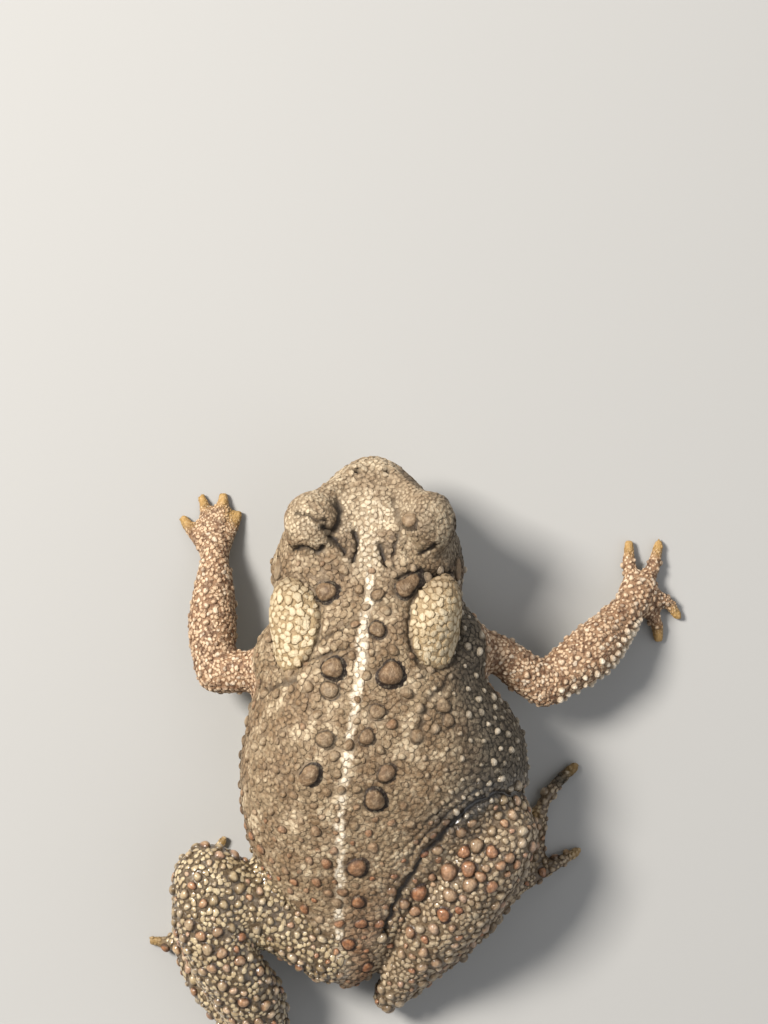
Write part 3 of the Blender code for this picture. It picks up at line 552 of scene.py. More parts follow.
def smooth_seams(skin):
    """Evens the wrap's steps without shrinking it, and the seams at the joints and the neck."""
    for _ in range(5):
        skin.relax(np.array([0.5]), 1)
        skin.relax(np.array([-0.52]), 1)
    skin.gland_gap = gland_gap(skin)
    weight = np.zeros(len(skin.points))
    for joint in SEAMS:
        weight = np.maximum(weight, 1.0 - ramp(skin.away(joint), joint[3] * 0.6, joint[3]))
    neck = 1.0 - ramp(np.abs(skin.plan[:, 1] - NECK), 0.7, 1.8)
    neck *= np.abs(skin.plan[:, 0]) < 15
    skin.relax(0.6 * np.maximum(weight, neck) * ramp(skin.gland_gap, 0.3, 1.2), 22)


def flatten_sites(skin, seats):
    """Lets the skin span each place of a solid wart, so that a finer one can take its place."""
    weight = np.zeros(len(skin.points))
    for spot, radius in seats:
        weight = np.maximum(weight, 1.0 - ramp(skin.away(spot), radius * 1.15, radius * 1.5))
    skin.relax(0.95 * weight, 60)


def mouth_line(tree):
    """Points along the closed mouth, from one corner round the snout to the other."""
    middle = toad_point(head_axis(MOUTH_CENTRE), MOUTH_CENTRE, 0.0)
    path = []
    for k in range(MOUTH_STEPS + 1):
        share = 2 * k / MOUTH_STEPS - 1
        turn = math.radians(MOUTH_CORNER * share)
        way = Vector((-math.sin(turn), -math.cos(turn), 0.0))
        up = MOUTH_UP - 0.5 * abs(share) - 0.7 * share**4
        spot = tree.ray_cast(middle + way * 30 * MM + Vector((0.0, 0.0, up * MM)), -way)[0]
        if spot is not None:
            path.append(to_plan([spot])[0])
    return path


def sculpt_head(skin):
    """Grooves, lid wrinkles, the mouth, the nostrils and the glands' sunken rims, each with painted shade.
    """
    plan = skin.plan
    right, forward, up = plan.T
    top = skin.normals[:, 2] > 0.15
    depth, shade = np.zeros(len(plan)), np.zeros(len(plan))
    places = wavered(plan, 1.4, 0.45, 12)
    for line, deep, wide in GROOVES:
        distance = line_distance(places, line)
        cut = bell(distance, wide) * top
        depth += deep * cut
        shade = np.maximum(shade, cut * min(1.0, deep * 2.4))
        lip = bell(distance - 2.2 * wide, 1.1 * wide) * top
        depth -= 0.22 * deep * lip
    left_lid = patch(plan, LEFT_LID) * top
    wrinkle = ripples(right * 0.62 + forward * 0.78 + 0.25 * noise_field(plan, 1.6, 9), 1.05)
    depth += 0.20 * wrinkle * left_lid
    shade = np.maximum(shade, 0.36 * ramp(wrinkle, 0.6, 1.0) * left_lid)
    across = right * 0.8 - forward * 0.6 + 0.3 * noise_field(plan, 1.8, 10)
    depth += 0.08 * ripples(across, 1.3) * patch(plan, RIGHT_LID) * top
    tree = skin.tree()
    distance = line_distance(plan, mouth_line(tree))
    depth += 0.42 * bell(distance, 0.3) - 0.12 * bell(distance - 0.85, 0.4)
    shade = np.maximum(shade, bell(distance, 0.28))
    for aside in NOSTRILS:
        distance = skin.away(seat(tree, aside, NOSTRIL_FORWARD)[1])
        depth += 0.75 * bell(distance, 0.42) - 0.16 * bell(distance - 0.8, 0.3)
        shade = np.maximum(shade, bell(distance, 0.45))
    # Painted shade in the glands' sunken rims, darkest on their inner sides.
    rim = bell(skin.gland_gap - GLAND_RIM, 0.35) * (up > 14.0)
    inner = ramp(10.5 - np.abs(right - 0.3), 0.0, 4.0)
    depth += 0.45 * rim
    shade = np.maximum(shade, 0.45 * rim * (0.35 + 0.65 * inner))
    return depth, shade


def fold_flank(skin, depth, shade):
    """The deep fold where the right leg meets the body, the creases beside it, and painted shade in both."""
    plan = skin.plan
    distance = line_distance(wavered(plan, 2.0, 0.5, 14), LEG_FOLD)
    top = skin.normals[:, 2] > -0.1
    cut = bell(distance, 0.48) * top * (plan[:, 2] > 5.0)
    depth += 0.6 * cut
    shade = np.maximum(shade, cut)
    region = crease_share(plan)
    ridges = ripples(distance + 0.30 * noise_field(plan, 2.2, 11), 1.15)
    depth += 0.34 * ridges * region * top
    return depth, np.maximum(shade, 0.9 * ramp(ridges, 0.45, 1.0) * region * top)


def ring_warts(skin, places, depth, shade):
    """The dark moat round each large wart, deeper round a browner one and on its far side from the light."""
    tree = skin.tree()
    strengths = [row[5] ** 2 for row in BACK_WARTS] + [0.4] * len(SHANK_WARTS)
    for (right, forward, radius), strong in zip(places, strengths):
        spot = seat(tree, right, forward)[1]
        away = skin.away(spot)
        # Painted shade: each moat darkens more on the side away from the light; the rest is the skin's dark
        # ring.
        shadow_side = skin.plan[:, 0] - spot[0] - skin.plan[:, 1] + spot[1]
        shadow_side = shadow_side / np.maximum(away, 0.1) / math.sqrt(2.0)
        moat = bell(away - radius * 1.12, 0.30) * (0.7 + 0.3 * shadow_side)
        depth += 0.22 * moat * strong
        shade = np.maximum(shade, 0.9 * moat * strong)
    return depth, shade


def paint_regions(skin):
    """Where each part of the toad's markings lies, from 0 to 1 over the skin, with the flanks' painted
    shade.
    """
    plan = skin.plan
    right, forward, up = plan.T
    limbs = {"leg": np.zeros(len(plan)), "arm": np.zeros(len(plan))}
    for name, line in LIMBS.items():
        share = 1.0 - ramp(limb_share(plan, line), 1.12, 1.35)
        limbs[name[:3]] = np.maximum(limbs[name[:3]], share)
    leg, arm = limbs["leg"], limbs["arm"]
    leg *= ~((forward > -6.0) & (up > 4.0) & (np.abs(right - 2.0) < 12.0))
    belly = ramp(-skin.normals[:, 2], -0.02, 0.55) * (1.0 - ramp(up, 8.0, 12.5))
    flank = ramp(right, 7.2, 14.5) * ramp(-up, -26.0, -20.0) * ramp(forward, -12.0, -8.0)
    flank += ramp(-right, 14.0, 17.5) * ramp(-up, -15.0, -10.0) * 0.6
    # Painted shade: the grey deepens on the shoulder behind the right gland, and in the hollow before the
    # right leg, part dark skin and part shade.
    shoulder_shade = ramp(right, 13.0, 16.0) * ramp(forward, 8.0, 12.0) * (1.0 - ramp(forward, 24.0, 27.0))
    grey_lid = 0.42 * patch(plan, GREY_LID) * (up > 14.0)
    hollow_dark_and_shade = 0.85 * patch(plan, LEG_HOLLOW) * (up > 9.0)
    for share in (0.8 * shoulder_shade, grey_lid, hollow_dark_and_shade):
        flank = np.maximum(flank, share)
    tips = np.zeros(len(plan))
    for spots, strength in ((FINGER_TIPS, 1.0), (TOE_TIPS, 0.6)):
        for spot in spots:
            reach = np.hypot(right - spot[0], forward - spot[1])
            tips = np.maximum(tips, strength * (1.0 - ramp(reach, 0.4, 2.6)) * (up < 4.0))
    vent = bell(right + 0.6, 3.2) * (1.0 - ramp(forward, -26.0, -14.0))
    plaque = np.zeros(len(plan))
    for corners in HEAD_PLAQUES:
        reach = line_distance(plan, corners)
        plaque = np.maximum(plaque, (1.0 - ramp(reach, 0.8, 1.3)) * (up > 16))
    wet = bell(line_distance(plan, LEG_FOLD), 2.4) * (up > 5.0)
    middle = ramp(forward, 23.0, 29.0) * (1.0 - ramp(np.abs(right - 0.4), 2.6, 5.0))
    snout = np.maximum(0.46 * ramp(forward, 29.0, 36.0), middle * (1.0 - 0.55 * ramp(forward, 34.0, 38.0)))
    pale_lid = 0.7 * patch(plan, PALE_LID) * (up > 14.0)
    neck = 0.55 * bell(forward - 25.0, 2.2) * ramp(np.abs(right - 0.6), 1.2, 2.4) * (up > 12.0)
    skin.fields.update(
        leg=leg,
        arm=arm,
        belly=belly * (1.0 - 0.2 * arm),
        flank=np.clip(flank, 0, 1) * (1 - leg) * (1 - arm),
        snout=np.maximum(snout, pale_lid) * (1.0 - belly),
        tip=tips,
        orange=0.28 * vent * (1.0 - leg),
        wart=np.maximum(np.maximum(plaque * 0.75, neck), 0.6 * vent * (1.0 - leg)),
        wet=np.clip(np.maximum(wet, leg * np.where(right < 0.0, 1.0, 0.5)), 0.0, 1.0),
        gland=(1.0 - ramp(skin.gland_gap, 0.45, 0.75)) * (up > 12.0) * np.where(right > 0.0, 0.86, 1.0),
        pale=np.zeros(len(plan)),
    )


def stripe_share(places):
    """How much of the pale mid line lies at some places of the skin."""
    plan = to_plan(places)
    forward = plan[:, 1]
    line = np.array(STRIPE[::-1])
    middle = np.interp(forward, line[:, 1], line[:, 0])
    off = np.abs(plan[:, 0] - middle - 0.22 * noise_field(plan, 2.4, 4))
    wide = 0.36 + 0.42 * noise_field(plan, 1.7, 5) + 0.30 * bell(forward - 16.5, 4.5)
    ends = ramp(forward, -33.0, -29.0) * (1.0 - ramp(forward, 25.0, 28.0))
    return (1.0 - ramp(off, wide, wide + 0.3)) * ends * (plan[:, 2] > 6.0)


# Tubercles

def dome_shape(sides, rings, skirt=0.0):
    """Points and faces of a dome of radius 1 and height 1, its lowest ring under its base or a skirt."""
    bm = bmesh.new()
    bmesh.ops.create_uvsphere(bm, u_segments=sides, v_segments=rings * 2, radius=1.0)
    cut = -math.sin(math.pi / 2 / rings) * 1.02
    low = [vert for vert in bm.verts if vert.co.z < cut]
    bmesh.ops.delete(bm, geom=low, context="VERTS")
    bm.verts.index_update()
    points = np.array([vert.co[:] for vert in bm.verts])
    faces = [[vert.index for vert in face.verts] for face in bm.faces]
    bm.free()
    if skirt:
        lowest = points[:, 2] < -0.01
        points[lowest, :2] *= (1.0 + skirt) / np.linalg.norm(points[lowest, :2], axis=1)[:, None]
        points[lowest, 2] = -0.08
    return points, faces


class Domes:
    """Tubercles gathered from the skin, each with its seat, size, colours and tail."""

    def __init__(self, skin, rng):
        self.skin = skin
        self.rng = rng
        self.rows = []
        self.marks = []

    def add(self, spot, normal, root, radius, height, tail=(0.0, 0.0), **marks):
        self.rows.append((*spot, *normal, radius, height, tail[0], math.radians(tail[1])))
        self.marks.append({"root": root, **marks})

    def places(self, shape, flat, uneven, skirt):
        """Each dome's points in the frame: uneven, drawn out to its tail and sunk into the skin."""
        rows = np.array(self.rows)
        spots, normals = rows[:, :3], rows[:, 3:6]
        wide, high, tail, bearing = (rows[:, k:k + 1] for k in range(6, 10))
        ahead = np.tile(np.array([0.0, -1.0, 0.0]), (len(rows), 1))
        ahead -= normals * np.sum(ahead * normals, axis=1)[:, None]
        ahead /= np.maximum(np.linalg.norm(ahead, axis=1), 1e-6)[:, None]
        aside = np.cross(ahead, normals)
        turn = np.arctan2(shape[:, 1], shape[:, 0])
        reach = np.hypot(shape[:, 0], shape[:, 1])
        reach = np.where(reach > 1.001, reach + 0.5 * skirt * np.cos(turn + 0.6), reach ** (2.0 / flat))
        phases = self.rng.random((len(rows), 3)) * 2 * math.pi
        swell = 1.0 + uneven * (np.cos(2 * turn + phases[:, :1]) + 0.7 * np.cos(3 * turn + phases[:, 1:2]))
        toward = np.clip(np.cos(turn[None, :] - bearing), 0.0, 1.0) ** 6
        swell += tail * toward
        radius = wide * swell * reach[None, :]
        x = radius * np.cos(turn)[None, :]
        y = radius * np.sin(turn)[None, :]
        z = high * shape[None, :, 2] * (1.0 - 0.35 * tail * toward * reach[None, :])
        lowest = shape[:, 2] < -0.01
        if not skirt:
            z[:, lowest] = np.minimum(z[:, lowest], -0.24 * wide)
        points = (
            spots[:, None, :]
            + MM * (x[..., None] * aside[:, None, :] + y[..., None] * ahead[:, None, :])
            + MM * z[..., None] * normals[:, None, :]
        )
        if skirt:
            tree = self.skin.tree()
            for k in range(len(rows)):
                for n in np.flatnonzero(lowest):
                    points[k, n] = tree.find_nearest(Vector(points[k, n]))[0]
        points = points.reshape(-1, 3)
        points[:, 2] = np.maximum(points[:, 2], 0.0)
        return points

    def build(self, name, material, sides, rings, flat, uneven=0.08, skirt=0.0, striped=False):
        """One joined mesh of all the domes, with the skin's markings and a patch each to bake on."""
        shape, faces = dome_shape(sides, rings, skirt)
        points = self.places(shape, flat, uneven, skirt)
        size, count = len(shape), len(self.rows)
        mesh = bpy.data.meshes.new(name)
        loops = np.array([index for face in faces for index in face])
        all_loops = (loops[None, :] + size * np.arange(count)[:, None]).ravel()
        lengths = np.tile([len(face) for face in faces], count)
        starts = np.concatenate([[0], np.cumsum(lengths)[:-1]])
        mesh.vertices.add(len(points))
        mesh.vertices.foreach_set("co", points.astype(np.float32).ravel())
        mesh.loops.add(len(all_loops))
        mesh.loops.foreach_set("vertex_index", all_loops.astype(np.int32))
        mesh.polygons.add(len(lengths))
        mesh.polygons.foreach_set("loop_start", starts.astype(np.int32))
        mesh.update(calc_edges=True)
        roots = np.array([mark["root"] for mark in self.marks])
        for key, field in self.skin.fields.items():
            values = np.array([mark.get(key, field[root]) for mark, root in zip(self.marks, roots)])
            values = np.repeat(values, size)
            if key == "pale" and striped:
                values = np.maximum(values, 0.92 * stripe_share(points))
            set_attribute(mesh, key, values)
        set_attribute(mesh, "rise", np.tile(np.clip(shape[:, 2], 0.0, 1.0), count))
        layer = mesh.uv_layers.new(name="OFBake")
        uv = self.skin.unwrap[roots][:, None, :] + BAKE_PATCH * shape[None, loops, :2]
        layer.data.foreach_set("uv", uv.astype(np.float32).ravel())
        obj = new_object(name, mesh)
        finish_mesh(obj, material)
        return own(obj, "skin")


def unwrap_skin(skin):
    """Each skin point's place on a flat chart: round the body or limb against the length along it."""
    plan = skin.plan
    chart = np.zeros((len(plan), 2))
    turn = np.arctan2(plan[:, 2] - 9.0, plan[:, 0] + 1.0) / (2 * math.pi) + 0.5
    chart[:, 0] = 0.02 + 0.60 * turn
    chart[:, 1] = 0.02 + 0.96 * np.clip((plan[:, 1] + 40.0) / 84.0, 0.0, 1.0)
    for k, (name, line) in enumerate(LIMBS.items()):
        inside = (skin.fields[name[:3]] > 0.5) & ((plan[:, 0] > 1.0) == name.endswith("right"))
        best = np.full(len(plan), 1e9)
        reach = np.zeros(len(plan))
        done = 0.0
        whole = sum(math.dist(a[:3], b[:3]) for a, b in zip(line, line[1:]))
        for first, second in zip(line, line[1:]):
            distance, share = stretch_distance(plan, first[:3], second[:3])
            length = math.dist(first[:3], second[:3])
            closer = distance < best
            best[closer] = distance[closer]
            reach[closer] = (done + share[closer] * length) / whole
            done += length
        along = np.array(line[-1][:2]) - np.array(line[0][:2])
        across = plan[:, :2] @ np.array([along[1], -along[0]]) / np.linalg.norm(along)
        spin = np.arctan2(plan[:, 2] - 5.0, across - np.median(across[inside])) / (2 * math.pi) + 0.5
        chart[inside, 0] = 0.64 + 0.35 * spin[inside]
        chart[inside, 1] = 0.01 + 0.245 * k + 0.225 * reach[inside]
    skin.unwrap = chart


def scatter(plan, spacing, chosen, taken_spots):
    """Of the spots chosen, in their order, those that keep a varying spacing from each other."""
    cell = float(np.max(spacing[chosen]))
    taken = {}

    def key_of(place):
        return tuple(int(math.floor(value / cell)) for value in place)

    for spot, gap in taken_spots:
        if gap > cell:
            chosen = chosen & (np.linalg.norm(plan - spot, axis=1) > (spacing + gap) / 2)
        else:
            taken.setdefault(key_of(spot), []).append((*spot, gap))
    around = [(i, j, k) for i in (-1, 0, 1) for j in (-1, 0, 1) for k in (-1, 0, 1)]

    def is_free(place, mine):
        x, y, z = place
        a, b, c = key_of(place)
        for i, j, k in around:
            for ox, oy, oz, gap in taken.get((a + i, b + j, c + k), ()):
                limit = (mine + gap) / 2
                if (ox - x) ** 2 + (oy - y) ** 2 + (oz - z) ** 2 < limit * limit:
                    return False
        return True

    index = np.flatnonzero(chosen)
    found = []
    for n, place in zip(index.tolist(), plan[index].tolist()):
        if is_free(place, spacing[n]):
            taken.setdefault(key_of(place), []).append((*place, spacing[n]))
            found.append(n)
    return np.array(found)


# Shader building

def sign(operation, turned=False):
    """A method for one sign of arithmetic, its sides turned round where the number stands first."""
    def act(self, other):
        return self.paint.math(operation, *((other, self) if turned else (self, other)))
    return act


class Field:
    """A socket that arithmetic works on: each sign adds its Math node."""

    def __init__(self, paint, socket):
        self.paint = paint
        self.socket = socket

    __add__, __radd__ = sign("ADD"), sign("ADD", True)
    __sub__, __rsub__ = sign("SUBTRACT"), sign("SUBTRACT", True)
    __mul__, __rmul__ = sign("MULTIPLY"), sign("MULTIPLY", True)
    __truediv__, __pow__ = sign("DIVIDE"), sign("POWER")

    def step(self, low, high):
        """A smooth step of this value from 0 at low to 1 at high."""
        settings = {"interpolation_type": "SMOOTHSTEP"}
        inputs = {"Value": self, "From Min": low, "From Max": high}
        return self.paint.take("ShaderNodeMapRange", settings, inputs, "Result")


class Paint:
    """One material and its nodes."""

    def __init__(self, name, roughness, coat=0.0, coat_roughness=0.2, specular=0.5):
        self.material = bpy.data.materials.new(name)
        self.material.use_nodes = True
        self.tree = self.material.node_tree
        self.shader = self.tree.nodes["Principled BSDF"]
        self.shader.inputs["Roughness"].default_value = roughness
        self.shader.inputs["Coat Weight"].default_value = coat
        self.shader.inputs["Coat Roughness"].default_value = coat_roughness
        self.shader.inputs["Specular IOR Level"].default_value = specular
        self.place = self.take("ShaderNodeTexCoord", {}, {}, "Object")

    def plug(self, socket, value):
        if isinstance(value, Field):
            self.tree.links.new(value.socket, socket)
        else:
            socket.default_value = value

    def take(self, kind, settings, inputs, output=0):
        """An output of a new node, its settings made first and then the values or links of its sockets."""
        node = self.tree.nodes.new(kind)
        for name, value in settings.items():
            setattr(node, name, value)
        for name, value in inputs.items():
            self.plug(node.inputs[name], value)
        return Field(self, node.outputs[output])

    def math(self, operation, first, second):
        return self.take("ShaderNodeMath", {"operation": operation}, {0: first, 1: second})

    def vector(self, operation, first, second, output):
        return self.take("ShaderNodeVectorMath", {"operation": operation}, {0: first, 1: second}, output)

    def mix(self, share, first, second):
        """A colour between two, each of them a code or made by nodes already."""
        first, second = (linear(c) if isinstance(c, str) else c for c in (first, second))
        settings = {"data_type": "RGBA", "clamp_factor": True}
        return self.take("ShaderNodeMix", settings, {0: share, 6: first, 7: second}, 2)

    def noise(self, size, detail):
        """Noise from 0 to 1 with lumps of a size in millimetres."""
        inputs = {"Vector": self.place, "Scale": 1.0 / (size * MM), "Detail": detail, "Roughness": 0.55}
        return self.take("ShaderNodeTexNoise", {}, inputs)

    def cell_edges(self, size):
        """Distance to the edges of cells of a size in millimetres."""
        inputs = {"Vector": self.place, "Scale": 1.0 / (size * MM)}
        return self.take("ShaderNodeTexVoronoi", {"feature": "DISTANCE_TO_EDGE"}, inputs, "Distance")

    def attribute(self, name):
        settings = {"attribute_type": "GEOMETRY", "attribute_name": name}
        return self.take("ShaderNodeAttribute", settings, {}, "Fac")

    def bump(self, height, strength, distance, **under):
        inputs = {"Height": height, "Strength": strength, "Distance": distance * MM, **under}
        return self.take("ShaderNodeBump", {}, inputs, "Normal")

    def finish(self, sockets):
        for name, value in sockets.items():
            self.plug(self.shader.inputs[name], value)
        return self.material


def skin_material():
    """Dry warty skin: a mosaic of pale granules in a brown net; markings and painted shade by attributes."""
    paint = Paint("toad skin", 0.6, coat_roughness=0.10, specular=0.35)
    mark = {name: paint.attribute(name) for name in MARKS + ("shade", "rise")}
    mix, rise, tone, wet = paint.mix, mark["rise"], mark["tone"], mark["wet"]
    fine = paint.noise(0.45, 3.0)
    grain = paint.noise(0.9, 4.0).step(0.35, 0.65)
    net = paint.cell_edges(0.55).step(0.0, 0.16)
    pale_patch = paint.noise(2.6, 3.0).step(0.47, 0.60)
    brown_patch = paint.noise(4.2, 4.0).step(0.47, 0.58)
    mottle = paint.noise(1.2, 3.0).step(0.50, 0.62)
    pits = paint.noise(1.0, 2.0).step(0.50, 0.57)
    belly_spots = paint.noise(2.4, 2.0).step(0.57, 0.62)
    top = rise.step(0.35, 0.95)
    ground = mix(paint.noise(6.0, 4.0).step(0.32, 0.68), "6E5B44", "826F56")
    brown = mix(rise.step(0.0, 0.6), "231810", mix(grain, "5B4631", "7B6349"))
    # Each layer's share and colour, from the lowest up.
    layers = [
        ((1.0 - net) * 0.20, "4E4031"),
        (mark["snout"] * 0.78, mix(top, "A8967C", "D4C6AE")),
        (pale_patch * 0.68, mix(top, "A08C72", "CCBB9E")),
        (brown_patch * (0.72 - 0.35 * mark["snout"]), mix(top, "58442F", "765C40")),
        (mottle * 0.36, "6B5237"),
        # The flanks' grey, darkened further as painted shade on the right side, away from the light.
        (mark["flank"] * 0.94, mix(top, "302A22", "534A3E")),
        (mark["leg"] * 0.62, mix(top, "56442F", mix(tone, "7E6B57", "AB9880"))),
        (mark["leg"] * wet * wet * 0.5, mix(top, "43351F", mix(tone, "93794C", "E6D3A6"))),
        (mark["arm"] * 0.75, mix(top, "8E6B4F", "CEB192")),
        (mark["arm"] * pits * 0.66, "51321E"),
        (mark["gland"] * 0.9, mix(top, "9C8562", mix(tone, "B09C7A", "D5C6A8"))),
        (mark["belly"], mix(belly_spots, "C6BCA4", "6E6252")),
        # The warts' brown, with a paler top on each as a painted highlight.
        (mark["wart"], mix(rise.step(0.93, 1.0) * 0.4, brown, "98846C")),
        (mark["orange"], mix(rise.step(0.05, 0.8), "35211A", mix(grain, "74452A", "9C6038"))),
        (mark["pale"], mix(top, "BBAA92", "E2D6C2")),
        (mark["tip"] * 0.66, "B08C4C"),
        ((fine - 0.5) * 0.9, "C9B99B"),
        ((0.5 - fine) * 0.9, "43362A"),
        # Painted shade: darkness painted into grooves, folds, creases, wart moats, pits and the mouth's
        # line.
        (mark["shade"] * 0.92, "1E1610"),
    ]
    colour = mix(top, ground, mix(tone, "7C674C", "A69174"))
    for share, layer in layers:
        colour = mix(share, colour, layer)
    normal = paint.bump(fine, 0.6, 0.08, Normal=paint.bump(net, 0.55, 0.09))
    rough = 0.64 - 0.26 * wet + 0.3 * (fine - 0.5)
    coat = wet * 0.85
    return paint.finish({"Base Color": colour, "Roughness": rough, "Coat Weight": coat, "Normal": normal})


def eye_material(side):
    """A gold iris with dark flecks round a level oval pupil, under a wet cornea."""
    centre, gaze, level, rise = eye_parts(side)
    paint = Paint("eye " + side, 0.25, coat=1.0, coat_roughness=0.03)
    local = paint.vector("SUBTRACT", paint.place, tuple(centre), 0)
    size = EYE_RADIUS * MM
    across = paint.vector("DOT_PRODUCT", local, tuple(level), "Value") / size
    upward = paint.vector("DOT_PRODUCT", local, tuple(rise), "Value") / size

    def oval(wide, high):
        return ((across / wide) * (across / wide) + (upward / high) * (upward / high)) ** 0.5

    pupil = oval(0.40, 0.24)
    iris = paint.mix(paint.noise(0.35, 4.0).step(0.42, 0.6), "BE9340", "4F3616")
    iris = paint.mix(1.0 - pupil.step(1.0, 1.3), iris, "DDB75C")
    colour = paint.mix(1.0 - pupil.step(0.93, 1.0), iris, "050403")
    return paint.finish({"Base Color": paint.mix(oval(1.0, 1.0).step(0.72, 0.84), colour, "1A120B")})


# Stage

def add_stage():
    """A plain floor, the camera straight above and the lights, each aimed at the toad."""
    bm = bmesh.new()
    bmesh.ops.create_grid(bm, x_segments=1, y_segments=1, size=2.0)
    floor = object_from(bm, "studio_floor")
    paint = Paint("studio floor", 0.9, specular=0.2)
    floor.data.materials.append(paint.finish({"Base Color": (0.36, 0.355, 0.345, 1.0)}))
    lens = bpy.data.cameras.new("camera")
    lens.sensor_fit = "VERTICAL"
    lens.angle = 2 * math.atan(PHOTO_HEIGHT * MM_PER_PIXEL / 2 / (CAMERA_UP - BACK_UP))
    lens.clip_start = 0.01
    camera = new_object("camera", lens)
    camera.location = toad_point(CAMERA_RIGHT, CAMERA_FORWARD, CAMERA_UP)
    camera.rotation_euler = (0.0, 0.0, math.pi)
    bpy.context.scene.camera = camera
    for name, place, size, power, colour in LIGHTS:
        light = bpy.data.lights.new(name, "AREA")
        light.size = size
        light.energy = power
        light.color = colour
        lamp = new_object(name, light)
        lamp.location = toad_point(*place)
        aim = toad_point(0.0, 5.0, 10.0) - toad_point(*place)
        lamp.rotation_euler = aim.to_track_quat("-Z", "Y").to_euler()
    world = bpy.data.worlds.new("studio")
    world.use_nodes = True
    sky = world.node_tree.nodes["Background"]
    sky.inputs["Color"].default_value = (0.95, 0.97, 1.0, 1.0)
    sky.inputs["Strength"].default_value = 0.30
    bpy.context.scene.world = world
    bpy.context.scene.view_settings.view_transform = "Standard"


# Pieces

def make_skin(material):
    """The skin with its relief, markings and painted shade, its warts' seats smoothed for finer ones."""
    skin = Skin()
    smooth_seams(skin)
    tree = skin.tree()
    places = [row[:3] for row in BACK_WARTS] + SHANK_WARTS
    seats = [(seat(tree, right, forward)[1], radius) for right, forward, radius in places]
    flatten_sites(skin, seats)
    rings = seats[:len(BACK_WARTS)]
    for reach in (0.9, 0.5):
        skin.refine(detail_gap(skin, rings) < reach)
        skin.relax(0.5 * (detail_gap(skin, rings) < reach), 4)
    skin.gland_gap = gland_gap(skin)
    depth, shade = sculpt_head(skin)
    depth, shade = fold_flank(skin, depth, shade)
    depth, shade = ring_warts(skin, places, depth, shade)
    paint_regions(skin)
    lumps = noise_field(skin.plan, 3.6, 1) + 0.6 * noise_field(skin.plan, 1.7, 2)
    above = 1.0 - skin.fields["belly"]
    height = 0.15 * lumps * above + 0.32 * skin.fields["gland"] - depth
    skin.points += skin.normals * (height * MM)[:, None]
    skin.points[:, 2] = np.maximum(skin.points[:, 2], 0.0)
    skin.refresh()
    skin.fields["shade"] = np.clip(shade, 0.0, 1.0)
    low_back = 1.0 - ramp(skin.plan[:, 1], *LOW_BACK)
    tone = 0.5 + 0.5 * noise_field(skin.plan, 1.2, 3) + 0.55 * low_back
    skin.fields["tone"] = np.clip(tone, 0.0, 1.0)
    unwrap_skin(skin)
    own_marks = {"pale": 0.75 * stripe_share(skin.points), "rise": np.full(len(skin.points), 0.3)}
    for name, field in {**skin.fields, **own_marks}.items():
        set_attribute(skin.mesh, name, field)
    finish_mesh(skin.obj, material)
    own(skin.obj, "skin", *FLESH)
    return skin


def add_large_warts(skin, domes, tree):
    """The brown warts of the back and the orange ones of the shanks, and the room that they take."""
    taken = []
    for right, forward, radius, tail, bearing, brown, orange in BACK_WARTS:
        spot, place, normal = seat(tree, right, forward)
        height = radius * (0.42 + 0.16 * brown)
        domes.add(spot, normal, np.argmin(skin.away(place)), radius * 0.98, height, (tail, bearing),
                  wart=0.35 + 0.65 * brown, orange=orange, shade=0.0, pale=0.0, tone=0.5)
        taken.append((place, radius * 2.0 + 0.45 * brown + 0.5 * tail * radius))
    for right, forward, radius in SHANK_WARTS:
        spot, place, normal = seat(tree, right, forward)
        orange = 0.12 + 0.8 * float(domes.rng.random()) ** 1.6
        domes.add(spot, normal, np.argmin(skin.away(place)), radius, radius * 0.72,
                  wart=0.6, orange=orange, shade=0.0, pale=0.0, leg=1.0)
        taken.append((place, radius * 1.9))
    return taken


def add_tubercles(skin, rng, domes, taken):
    """Middling tubercles: brown on the back, pale on the right flank and along the right forearm's edge."""
    points, normals, roots = skin.samples(rng, TUBERCLE_TRIES)
    plan = to_plan(points)
    fields = {name: field[roots] for name, field in skin.fields.items()}
    open_skin = (fields["belly"] < 0.35) & (fields["gland"] < 0.2) & (fields["tip"] < 0.3)
    open_skin &= (plan[:, 1] < 27.0) & (fields["shade"] < 0.3) & (normals[:, 2] > -0.25)
    right_side = ramp(plan[:, 0], 5.0, 9.0) * (plan[:, 1] > -8.0)
    low = 1.0 - ramp(plan[:, 1], *LOW_BACK)
    row = (fields["arm"] > 0.5) & (line_distance(plan, ARM_ROW) < 1.3)
    spacing = 2.35 + 0.7 * noise_field(plan, 8.0, 21)
    spacing += -0.45 * right_side - 0.7 * fields["arm"] - 0.6 * fields["leg"] - 0.3 * low - 0.1 * row
    for n in scatter(plan, spacing, open_skin, taken):
        draw = rng.random(4)
        grey = fields["flank"][n]
        radius = 0.40 + 0.48 * draw[1] ** 1.8
        if row[n]:
            radius = 0.40 + 0.16 * draw[1]
            high, marks = 1.3, {"pale": 0.55 + 0.4 * draw[2]}
        elif fields["arm"][n] > 0.5:
            radius *= 0.62
            high, marks = 0.8, {"pale": 0.25 * draw[2]}
        elif fields["leg"][n] > 0.5:
            high, marks = 0.8, {"orange": max(0.0, 1.7 * draw[0] - 0.8), "pale": 0.15 * (draw[3] > 0.6)}
        elif right_side[n] > 0.3:
            radius *= 1.0 - 0.25 * grey
            high, marks = 0.9, {"pale": 0.1 + 0.45 * draw[2] * grey}
        else:
            rust = max(low[n] * 0.75 * draw[2], 0.2 * (draw[0] > 0.85))
            high, marks = 0.50 + 0.2 * draw[2], {"wart": 0.15 + 0.4 * draw[0], "orange": rust}
        domes.add(points[n], normals[n], roots[n], radius, radius * high, shade=0.0, tone=draw[0], **marks)
        taken.append((plan[n], radius * 2.2))
    return taken


